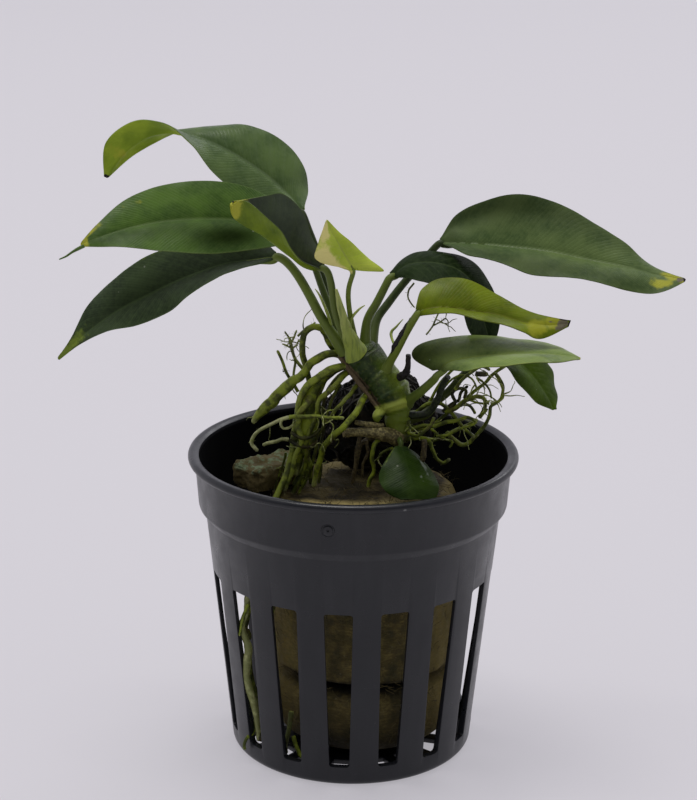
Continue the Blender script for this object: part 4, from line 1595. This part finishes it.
LEFT_ROOTS = (
    (0.65, 0.4, 0.6, (-0.4, 0.3, 68.2, 0.7), (-3.2, -0.1, 69.7, 0.7), (-6.2, -1.3, 69.1, 0.7),
     (-7.9, -2.0, 67.4, 0.7), (-9.2, -2.1, 66.0, 0.75), (-10.9, -2.0, 64.6, 0.95),
     (-12.8, -2.1, 62.7, 1.0), (-14.4, -2.3, 61.0, 0.95), (-15.8, -2.5, 59.5, 0.7),
     (-17.0, -2.6, 58.1, 0.35)),
    (0.65, 0.45, 0.62, (0.6, -0.6, 67.6), (-3.3, -2.8, 67.9), (-5.3, -4.0, 67.1), (-7.3, -4.2, 65.5),
     (-8.7, -4.2, 63.4), (-9.3, -4.2, 60.2), (-9.9, -4.6, 56.5), (-10.6, -5.5, 52.0), (-12.2, -7.4, 48.2),
     (-14.2, -9.4, 43.4), (-15.2, -9.8, 38.0), (-16.4, -9.0, 31.5), (-17.5, -8.2, 26.8),
     (-18.2, -7.4, 22.7), (-17.6, -7.2, 17.7), (-17.2, -7.0, 13.0), (-16.4, -7.0, 9.2),
     (-16.0, -7.0, 3.6)),
    (0.6, 0.45, 0.35, (-0.6, 1.8, 68.4), (-3.4, 1.5, 69.9), (-4.8, 0.8, 72.4), (-5.5, 0.3, 73.8),
     (-6.7, 0.3, 74.1), (-8.0, 0.7, 73.2), (-8.6, 0.8, 71.5), (-8.6, 0.7, 69.0), (-7.6, 0.4, 65.4),
     (-6.9, -0.4, 62.6), (-7.4, -1.4, 59.4), (-8.7, -2.0, 55.4), (-7.6, -2.6, 52.0), (-9.4, -3.6, 48.6),
     (-9.9, -4.0, 47.4)),
    (0.5, 0.4, 0.3, (1.8, 0.0, 66.8), (-0.9, -1.6, 66.8), (-2.5, -4.2, 65.9), (-4.1, -5.4, 64.7),
     (-5.6, -5.8, 63.4), (-6.0, -5.8, 61.4), (-6.8, -5.8, 58.9), (-7.8, -5.6, 56.1), (-7.9, -5.4, 52.5),
     (-8.7, -5.4, 48.0)),
    (0.4, 0.3, 0.25, (3.2, -0.4, 65.0), (0.7, -2.0, 64.8), (-0.5, -4.8, 64.1), (-2.0, -6.6, 62.9),
     (-3.4, -7.0, 61.4), (-4.4, -7.0, 59.6)),
    (0.35, 0.3, 0.6, (-10.6, -6.2, 60.4), (-8.4, -6.9, 60.7), (-5.9, -7.4, 60.9), (-3.7, -8.4, 61.0),
     (-1.6, -9.2, 61.3)),
    (0.3, 0.3, 0.9, (-10.4, -4.8, 60.0), (-11.9, -4.8, 59.6), (-13.3, -4.5, 58.8), (-15.5, -4.0, 57.5),
     (-16.6, -4.0, 56.3), (-17.0, -4.4, 55.0), (-15.9, -5.0, 53.9)),
    (0.3, 0.3, 0.85, (-10.8, -5.6, 56.2), (-11.7, -5.5, 56.3), (-12.9, -5.2, 55.8), (-14.4, -5.0, 55.3),
     (-15.2, -5.0, 55.0)),
    (0.3, 0.25, 0.7, (-8.6, 1.8, 66.4), (-9.9, 1.8, 68.1), (-10.5, 1.8, 70.1), (-10.9, 1.8, 71.8)),
    (0.3, 0.25, 0.6, (-9.4, 1.4, 62.4), (-10.3, 1.6, 63.9), (-11.4, 1.8, 65.7), (-12.1, 2.0, 67.6),
     (-12.9, 2.2, 69.4)),
    (0.25, 0.2, 0.85, (-10.6, -5.6, 60.0), (-11.6, -5.8, 59.9), (-12.1, -5.9, 59.2), (-11.7, -6.1, 58.4),
     (-10.7, -6.2, 58.5), (-10.0, -6.4, 59.2)),
    (0.22, 0.18, 0.6, (-11.3, -5.0, 53.8), (-11.6, -4.9, 52.2), (-12.1, -4.8, 50.6), (-12.8, -4.7, 48.7),
     (-13.3, -4.6, 46.8)),
    (0.4, 0.35, 0.5, (-8.9, -5.4, 56.1), (-8.4, -5.4, 54.2), (-7.2, -5.5, 51.9), (-8.4, -5.5, 49.8),
     (-9.5, -5.6, 48.0), (-10.2, -5.6, 46.6)),
    (0.25, 0.22, 0.45, (-7.7, -6.0, 51.0), (-7.9, -6.0, 49.1), (-8.9, -6.0, 47.5), (-9.2, -6.0, 46.6)),
    (0.2, 0.15, 0.75, (-10.4, 1.8, 69.9), (-10.7, 1.7, 71.4), (-11.7, 1.6, 72.9)),
    (0.2, 0.15, 0.75, (-10.6, 1.8, 70.8), (-10.1, 2.0, 71.8), (-9.6, 2.2, 73.0)),
    (0.18, 0.13, 0.75, (-10.4, 1.8, 69.9), (-11.2, 1.5, 70.4), (-12.1, 1.2, 70.8)),
    (0.18, 0.13, 0.75, (-10.4, 1.8, 69.9), (-9.7, 1.9, 70.4), (-9.2, 2.0, 71.5)),
    (0.22, 0.2, 0.65, (-10.4, 1.8, 69.9), (-9.9, 1.4, 67.6), (-10.1, 1.0, 65.8), (-10.2, 0.6, 64.3)),
    (0.2, 0.16, 0.65, (-9.4, 1.6, 72.1), (-8.4, 1.3, 73.2), (-7.4, 0.9, 73.9), (-6.4, 0.6, 74.8)),
    (0.8, 0.8, 0.5, (-4.6, -2.4, 66.6, 0.6), (-6.4, -3.0, 64.6, 1.0), (-7.4, -3.4, 62.2, 1.4),
     (-7.6, -3.6, 60.0, 1.6), (-7.7, -3.8, 58.2, 1.9), (-7.9, -4.0, 56.4, 1.7), (-8.6, -4.4, 54.6, 1.1),
     (-9.2, -4.8, 52.4, 0.7), (-9.6, -5.2, 49.6, 0.5)),
    (0.6, 0.4, 0.62, (-7.2, -4.8, 63.0), (-8.9, -5.4, 60.8), (-9.2, -5.6, 58.4), (-8.6, -5.8, 56.0),
     (-9.6, -5.8, 53.4), (-10.4, -6.2, 50.4), (-11.6, -6.8, 47.4)),
    (0.35, 0.3, 0.12, (-10.4, -5.4, 57.4), (-8.6, -6.2, 56.7), (-6.8, -5.6, 56.9), (-5.6, -4.4, 57.8)),
    (0.35, 0.3, 0.12, (-10.6, -5.0, 55.9), (-9.2, -5.9, 55.4), (-7.4, -5.6, 55.0), (-6.0, -4.6, 55.8)),
    (0.4, 0.3, 0.25, (-0.8, -0.6, 67.6), (-3.0, -1.4, 66.9), (-4.8, -2.2, 65.4), (-5.8, -2.8, 63.2),
     (-6.0, -3.2, 60.6), (-6.4, -3.6, 57.6), (-6.2, -4.0, 54.4), (-6.9, -4.4, 51.2), (-7.2, -4.6, 48.0)),
    (0.35, 0.25, 0.2, (-0.4, 0.6, 66.8), (-2.6, 0.4, 65.4), (-4.4, -0.2, 63.0), (-5.2, -1.0, 60.0),
     (-5.0, -1.6, 56.8), (-5.6, -2.2, 53.6), (-5.4, -2.8, 50.4), (-5.8, -3.2, 47.6)),
    (0.3, 0.22, 0.25, (-2.2, -0.6, 64.4), (-3.6, -1.8, 62.2), (-4.4, -2.8, 59.8), (-5.4, -3.2, 57.0),
     (-7.0, -3.6, 54.2), (-8.2, -4.2, 51.0), (-8.4, -4.6, 48.2)),
)
FRONT_ROOTS = (
    (0.6, 0.45, 0.5, (4.6, -1.0, 63.4), (2.0, -2.9, 63.2), (0.6, -6.2, 61.8), (-1.2, -8.0, 59.7),
     (-2.9, -8.2, 58.3), (-4.1, -7.8, 56.9), (-5.1, -7.2, 55.2), (-5.4, -6.8, 53.4), (-6.0, -6.8, 51.3),
     (-6.6, -6.8, 48.2)),
    (0.4, 0.35, 0.45, (6.6, -3.2, 56.4), (4.0, -5.0, 55.9), (3.3, -6.0, 54.8), (3.1, -6.2, 53.0),
     (3.5, -6.4, 51.1), (2.8, -6.6, 49.6), (2.5, -6.6, 48.2)),
    (0.3, 0.3, 0.4, (9.0, -3.4, 57.0), (10.4, -6.2, 57.2), (11.8, -7.0, 58.5), (12.9, -7.0, 59.6),
     (13.3, -7.0, 60.8)),
    (0.25, 0.2, 0.45, (6.6, -4.6, 54.5), (5.3, -4.9, 54.1), (4.4, -5.1, 53.3), (4.0, -5.4, 52.5)),
    (0.3, 0.2, 0.6, (9.2, -3.6, 59.0), (9.4, -3.8, 58.0), (9.3, -4.0, 57.0)),
)
RIGHT_ROOTS = (
    (0.45, 0.35, 0.5, (8.2, -3.4, 55.4), (11.0, -4.2, 56.2), (12.5, -4.4, 55.8), (13.1, -4.6, 54.6),
     (13.8, -5.0, 53.0), (15.0, -5.0, 52.1), (16.2, -4.6, 52.7)),
    (0.5, 0.3, 0.6, (15.6, -2.4, 56.6), (17.3, -2.0, 54.8), (18.8, -1.5, 54.1), (20.1, -1.5, 55.2),
     (21.3, -1.5, 56.6), (22.2, -1.5, 57.8), (22.8, -1.9, 59.6), (23.0, -2.2, 61.2), (24.6, -1.8, 62.4),
     (24.9, -1.2, 64.6), (23.6, -0.6, 66.6)),
    (0.4, 0.35, 0.55, (15.6, 3.0, 58.8), (18.3, 3.0, 59.8), (19.2, 2.8, 61.1), (20.7, 2.5, 62.6),
     (22.0, 2.5, 63.6), (23.0, 2.5, 64.9), (24.3, 2.5, 66.0), (26.1, 2.5, 67.2)),
    (0.5, 0.4, 0.5, (15.4, -0.8, 59.6), (17.0, -1.4, 60.5), (18.5, -1.6, 61.9), (20.0, -1.8, 62.6),
     (21.1, -1.6, 62.7), (22.0, -1.0, 61.8), (21.9, -0.4, 59.8), (21.1, 0.2, 58.4)),
    (0.5, 0.35, 0.4, (8.8, -2.6, 56.8), (11.3, -2.4, 57.7), (13.3, -3.0, 57.9), (15.3, -3.4, 58.7),
     (17.3, -3.7, 59.2), (18.9, -3.7, 59.7), (20.6, -3.5, 59.0)),
    (0.5, 0.35, 0.4, (8.8, -1.2, 56.0), (11.2, 0.8, 54.6), (13.7, 2.0, 53.8), (15.9, 2.5, 54.6),
     (17.6, 3.0, 55.3), (19.9, 3.5, 56.1), (21.2, 3.5, 57.0)),
    (0.4, 0.3, 0.6, (16.9, -2.2, 64.2), (18.0, -2.8, 66.0), (19.8, -3.0, 67.6), (21.1, -3.4, 68.5),
     (22.6, -3.5, 67.9)),
    (0.22, 0.2, 0.65, (22.9, -2.2, 61.6), (24.8, -2.0, 62.4), (24.9, -1.7, 63.7), (24.4, -1.5, 65.1),
     (23.7, -1.2, 66.2), (23.5, -1.0, 66.7)),
    (0.25, 0.2, 0.6, (20.5, -1.8, 66.0), (21.5, -1.7, 65.3), (22.7, -1.7, 63.9), (23.0, -1.6, 62.3)),
    (0.25, 0.2, 0.6, (19.9, -2.6, 63.1), (21.1, -2.5, 63.1), (22.1, -2.3, 62.3), (22.6, -2.2, 61.4)),
    (0.25, 0.2, 0.55, (18.8, -1.8, 62.3), (19.4, -2.0, 62.2), (20.8, -2.2, 61.8), (22.4, -2.4, 61.7)),
    (0.3, 0.2, 0.55, (22.3, -2.0, 60.7), (21.8, -2.3, 60.0), (21.1, -2.6, 59.1)),
    (0.35, 0.25, 0.45, (13.8, -4.4, 56.6), (15.6, -4.3, 56.8), (17.3, -4.2, 57.6), (19.4, -4.1, 58.4),
     (20.6, -4.0, 59.0)),
    (0.3, 0.25, 0.5, (12.9, -4.2, 57.8), (14.4, -4.3, 56.6), (15.8, -4.4, 55.9), (16.5, -4.5, 55.6),
     (16.0, -4.6, 54.6)),
    (0.4, 0.35, 0.1, (16.0, -0.8, 60.0), (17.0, -0.7, 61.4), (16.5, -0.6, 62.8), (17.6, -0.6, 63.8),
     (18.8, -0.5, 63.3), (18.5, -0.4, 61.9)),
    (0.4, 0.3, 0.1, (15.0, -0.2, 59.5), (16.2, -0.1, 60.7), (17.7, 0.0, 61.6), (18.0, 0.1, 62.9),
     (19.2, 0.2, 64.0)),
    (0.5, 0.6, 0.05, (20.2, -1.6, 66.8), (21.2, -1.6, 66.6), (22.4, -1.6, 66.5)),
    (0.45, 0.35, 0.5, (9.6, -0.8, 58.6), (12.2, -0.4, 60.8), (14.6, -0.4, 61.0), (16.6, -1.0, 59.4),
     (18.6, -1.6, 57.0), (20.4, -1.8, 55.6)),
    (0.4, 0.3, 0.4, (9.4, -1.4, 57.4), (11.8, -0.8, 56.6), (13.8, -0.6, 57.6), (15.8, -0.4, 59.4),
     (17.8, 0.2, 60.6), (19.6, 1.0, 60.2), (20.6, 1.6, 58.6)),
    (0.35, 0.25, 0.55, (12.6, 0.6, 60.6), (14.0, 1.4, 63.2), (15.8, 2.0, 65.4), (17.6, 2.2, 66.8),
     (19.4, 2.0, 67.4), (20.8, 1.4, 66.6)),
    (0.25, 0.2, 0.6, (14.4, 0.2, 62.4), (16.0, 0.0, 64.8), (18.0, -0.2, 66.0), (19.8, -0.6, 65.4),
     (20.6, -1.0, 63.8)),
    (0.2, 0.15, 0.7, (9.9, 2.0, 81.3), (9.1, 2.0, 80.2), (8.9, 2.0, 78.9), (9.4, 2.0, 77.8),
     (10.1, 2.0, 77.0)),
    (0.2, 0.15, 0.75, (12.0, 1.0, 72.6), (13.1, 1.3, 74.1), (14.0, 1.7, 76.1), (15.1, 2.0, 77.9)),
    (0.18, 0.13, 0.75, (13.1, 1.0, 74.2), (14.3, 1.5, 74.7), (15.3, 2.0, 75.3)),
)
BROWN_ROOTS = (
    (0.7, 0.5, 0.1, (3.4, -3.0, 55.6), (1.6, -4.0, 55.4), (0.8, -4.6, 54.0), (0.4, -4.6, 51.1),
     (-0.2, -4.8, 48.2)),
    (0.5, 0.35, 0.1, (1.1, -5.2, 56.8), (0.6, -5.3, 54.4), (0.3, -5.3, 51.4), (-0.2, -5.4, 48.4)),
    (0.45, 0.3, 0.1, (2.1, -5.0, 56.0), (2.4, -5.1, 53.8), (1.6, -5.1, 51.7), (1.5, -5.2, 49.4)),
    (0.6, 0.9, 0.1, (11.7, -7.0, 56.8), (11.7, -6.9, 54.6), (11.3, -6.7, 52.8), (11.0, -6.6, 50.7),
     (10.6, -6.6, 48.4), (10.2, -6.8, 46.7)),
)
SLOT_ROOTS = (
    (0.5, 0.5, 0.85, (-16.6, -11.6, 34.0, 0.4), (-17.6, -11.8, 30.5, 0.4), (-17.8, -12.0, 28.0, 0.45),
     (-18.5, -12.2, 25.5, 0.55), (-17.9, -12.0, 22.7, 0.6), (-17.4, -12.2, 20.6, 0.7),
     (-17.9, -12.2, 16.6, 0.65), (-16.9, -12.0, 12.0, 0.65), (-16.1, -11.8, 7.8, 0.5),
     (-15.8, -11.8, 3.7, 0.4)),
    (0.3, 0.2, 0.6, (-17.4, -12.5, 29.4), (-18.1, -12.7, 27.6), (-18.6, -12.8, 25.4),
     (-18.9, -12.8, 23.8)),
    (0.9, 0.7, 0.1, (-18.6, -11.4, 24.6), (-17.8, -11.4, 23.7), (-17.2, -11.6, 22.6)),
    (0.8, 0.7, 0.1, (-16.2, -11.4, 5.6), (-15.4, -11.6, 4.6), (-14.8, -12.0, 4.0)),
    (0.4, 0.3, 0.6, (-13.0, -11.4, 34.6), (-13.3, -12.0, 29.2), (-13.6, -12.3, 26.6),
     (-13.1, -12.2, 23.8), (-13.3, -11.8, 22.2)),
    (0.45, 0.35, 0.7, (-10.3, -12.2, 9.6), (-10.6, -12.6, 6.4), (-11.2, -12.6, 3.6), (-11.0, -12.8, 2.0)),
    (0.4, 0.35, 0.6, (-9.9, -12.8, 5.4), (-9.4, -13.4, 3.9), (-8.7, -14.0, 2.4), (-8.0, -14.4, 1.9)),
    (0.4, 0.25, 0.55, (-16.2, -10.4, 7.4), (-16.9, -11.2, 5.2), (-17.7, -11.8, 4.5), (-18.3, -12.2, 3.4),
     (-18.1, -12.2, 2.3)),
)
ROOT_SIDES = 12
ROOT_STEP = 0.3
WANDER = 0.35
WANDER_SEED = 7


def root_shape(seed, length, last):
    """A gently knotted root whose free end is round."""
    def shape(share, angle):
        place = Vector((share * length * 0.55 + seed, math.cos(angle) * 0.8, math.sin(angle) * 0.8))
        factor = 1 + 0.16 * noise.noise(place) + 0.05 * noise.noise(place * 4)
        left_over = min((1 - share) * length / (1.3 * last), 1.0)
        return factor * math.sqrt(max(1 - (1 - left_over) ** 2, 0.04))
    return shape


def add_roots(bm, roots, stout):
    """Adds each root of a table as a tube that wanders a little off its curve.

    A fourth number in the points is the radius there, and then the root's own last radius only rounds
    its end. Stout scales every radius.
    """
    tone_layer = bm.verts.layers.float.get("tone") or bm.verts.layers.float.new("tone")
    for seed, (first, last, tone, *points) in enumerate(roots):
        rows = points if len(points[0]) == 4 else with_radius(points, first, last)
        rows = [(*row[:3], row[3] * stout) for row in rows]
        length = sum((Vector(a[:3]) - Vector(b[:3])).length for a, b in zip(points, points[1:]))
        rings = max(10, int(length / ROOT_STEP))
        fine = []
        for index in range(2 * len(points) - 1):
            row = on_curve(rows, index / (2 * len(points) - 2))
            wander = WANDER * row[3] * noise.noise_vector(Vector((index * 0.9, seed * 7.3, tone * 5)))
            fine.append((*(Vector(row[:3]) + wander), row[3]))
        for vert in tube_into(bm, fine, rings, ROOT_SIDES, root_shape(seed * 3.7, length, last)):
            vert[tone_layer] = tone


def root_finish(name):
    """Olive skin with darker worn parts, pale tips, and fine wrinkles."""
    finish, tree, shader = new_material(name, 0.5, 0.3)
    place = object_place(tree)
    tone = reading(tree, "tone")
    topside = reading(tree, "topside")
    dark = mix(tree, step(tree, tone, 0.0, 0.5), rgb(0.008, 0.007, 0.003), rgb(0.050, 0.066, 0.005))
    light = mix(tree, step(tree, tone, 0.0, 0.5), rgb(0.036, 0.032, 0.010), rgb(0.23, 0.29, 0.016))
    dark = mix(tree, step(tree, tone, 0.55, 1.0), dark, rgb(0.26, 0.28, 0.10))
    light = mix(tree, step(tree, tone, 0.55, 1.0), light, rgb(0.55, 0.56, 0.28))
    worn = plus(tree, cloud(tree, place, 1.5, detail=6.0), times(tree, topside, 0.10))
    shade = mix(tree, step(tree, worn, 0.40, 0.64), dark, light)
    brown = patchy(tree, place, 3.2, 0.53, 0.66, 0.0, 0.55, detail=6.0, roughness=0.7)
    shade = mix(tree, brown, shade, rgb(0.075, 0.052, 0.018))
    tip = step(tree, reading(tree, "along"), 0.90, 1.0, 0.0, 0.55)
    shade = mix(tree, times(tree, tip, step(tree, tone, 0.3, 0.5)), shade, rgb(0.36, 0.38, 0.17))
    grit = speckles(tree, place, 1100.0, 0.09, 0.22)
    shade = mix(tree, times(tree, grit, 0.5), shade, rgb(0.34, 0.33, 0.20))
    feed(tree, shader.inputs["Base Color"], shade)
    feed(tree, shader.inputs["Roughness"], patchy(tree, place, 0.8, 0.3, 0.7, 0.38, 0.66))
    bump(tree, shader, cloud(tree, place, 0.28, detail=6.0), 0.07, 0.8)
    return finish


living_roots = root_finish("living roots")
noise.seed_set(WANDER_SEED)
for name, roots, stout, nodes in (
    ("roots_left", LEFT_ROOTS, 1.0, (
        "root_left_free", "root_left_long", "root_left_loop", "root_left_inner", "root_left_fine",
        "root_across", "root_hook_upper", "root_hook_lower", "root_star", "root_side")),
    ("roots_front", FRONT_ROOTS, 1.0, ("root_front_long", "root_centre", "root_bow")),
    ("roots_right", RIGHT_ROOTS, 0.8, (
        "root_hook_right", "root_right_outer", "root_right_arch", "root_right_knot", "root_right_low",
        "root_right_rear", "root_right_top")),
    ("roots_in_slots", SLOT_ROOTS, 1.0, ()),
):
    bm = bmesh.new()
    add_roots(bm, roots, stout)
    close_tubes(bm)
    add_piece(name, bm, living_roots, sharp=80, nodes=nodes)

brown_roots = dead_finish("brown roots", (0.045, 0.034, 0.012), (0.15, 0.12, 0.045), (0.07, 0.05, 0.02))
bm = bmesh.new()
add_roots(bm, BROWN_ROOTS, 0.72)
close_tubes(bm)
add_piece("roots_brown", bm, brown_roots, sharp=80, nodes=("root_brown",))


# Between the thick roots grows a fringe of rootlets and root hairs, a tenth of a millimetre thick,
# that gives the bundles their tangled look. They start on a thick root and end free or on the wool.

ROOTLETS = 90
ROOT_HAIRS = 420
LOWEST_HAIRY_ROOT = 45
ROOTLET_TONES = (0.5, 0.6, 0.7, 0.85, 0.95)
rootlet_dice = random.Random(5)


def start_on(roots, dice):
    """A random place on a random root of the table, and the root's direction there."""
    first, last, tone, *points = dice.choice(roots)
    share = dice.uniform(0.08, 0.92)
    place = Vector(on_curve(points, share)[:3])
    return place, (Vector(on_curve(points, share + 0.02)[:3]) - place).normalized(), tone


bm = bmesh.new()
tone_layer = bm.verts.layers.float.new("tone")
above_wool = [root for root in LEFT_ROOTS + FRONT_ROOTS + RIGHT_ROOTS
              if min(point[2] for point in root[3:]) > LOWEST_HAIRY_ROOT]
for index in range(ROOTLETS):
    place, tangent, tone = start_on(above_wool, rootlet_dice)
    aside = tangent.cross(any_way(rootlet_dice)).normalized()
    heading = (aside + 0.7 * tangent + Vector((0, 0, -0.5))).normalized()
    rows = []
    length = rootlet_dice.uniform(1.8, 5.5)
    for knot in range(7):
        rows.append((*place, rootlet_dice.uniform(0.07, 0.13) * (1.25 - knot / 9)))
        turn = any_way(rootlet_dice)
        heading = (heading + 0.32 * turn + Vector((0, 0, -0.12))).normalized()
        place = place + heading * length / 6
        place.z = max(place.z, PLUG_TOP + 0.2)
    for vert in tube_into(bm, rows, 18, 5):
        vert[tone_layer] = rootlet_dice.choice(ROOTLET_TONES)
for index in range(ROOT_HAIRS):
    place, tangent, tone = start_on(above_wool, rootlet_dice)
    aside = tangent.cross(any_way(rootlet_dice)).normalized()
    rows = fibre_rows(place, aside, rootlet_dice.uniform(0.4, 1.0), 0.025, 0.3, rootlet_dice)
    for vert in tube_into(bm, rows, 4, 3):
        vert[tone_layer] = 0.8
close_tubes(bm)
add_piece("rootlets_and_hairs", bm, living_roots)
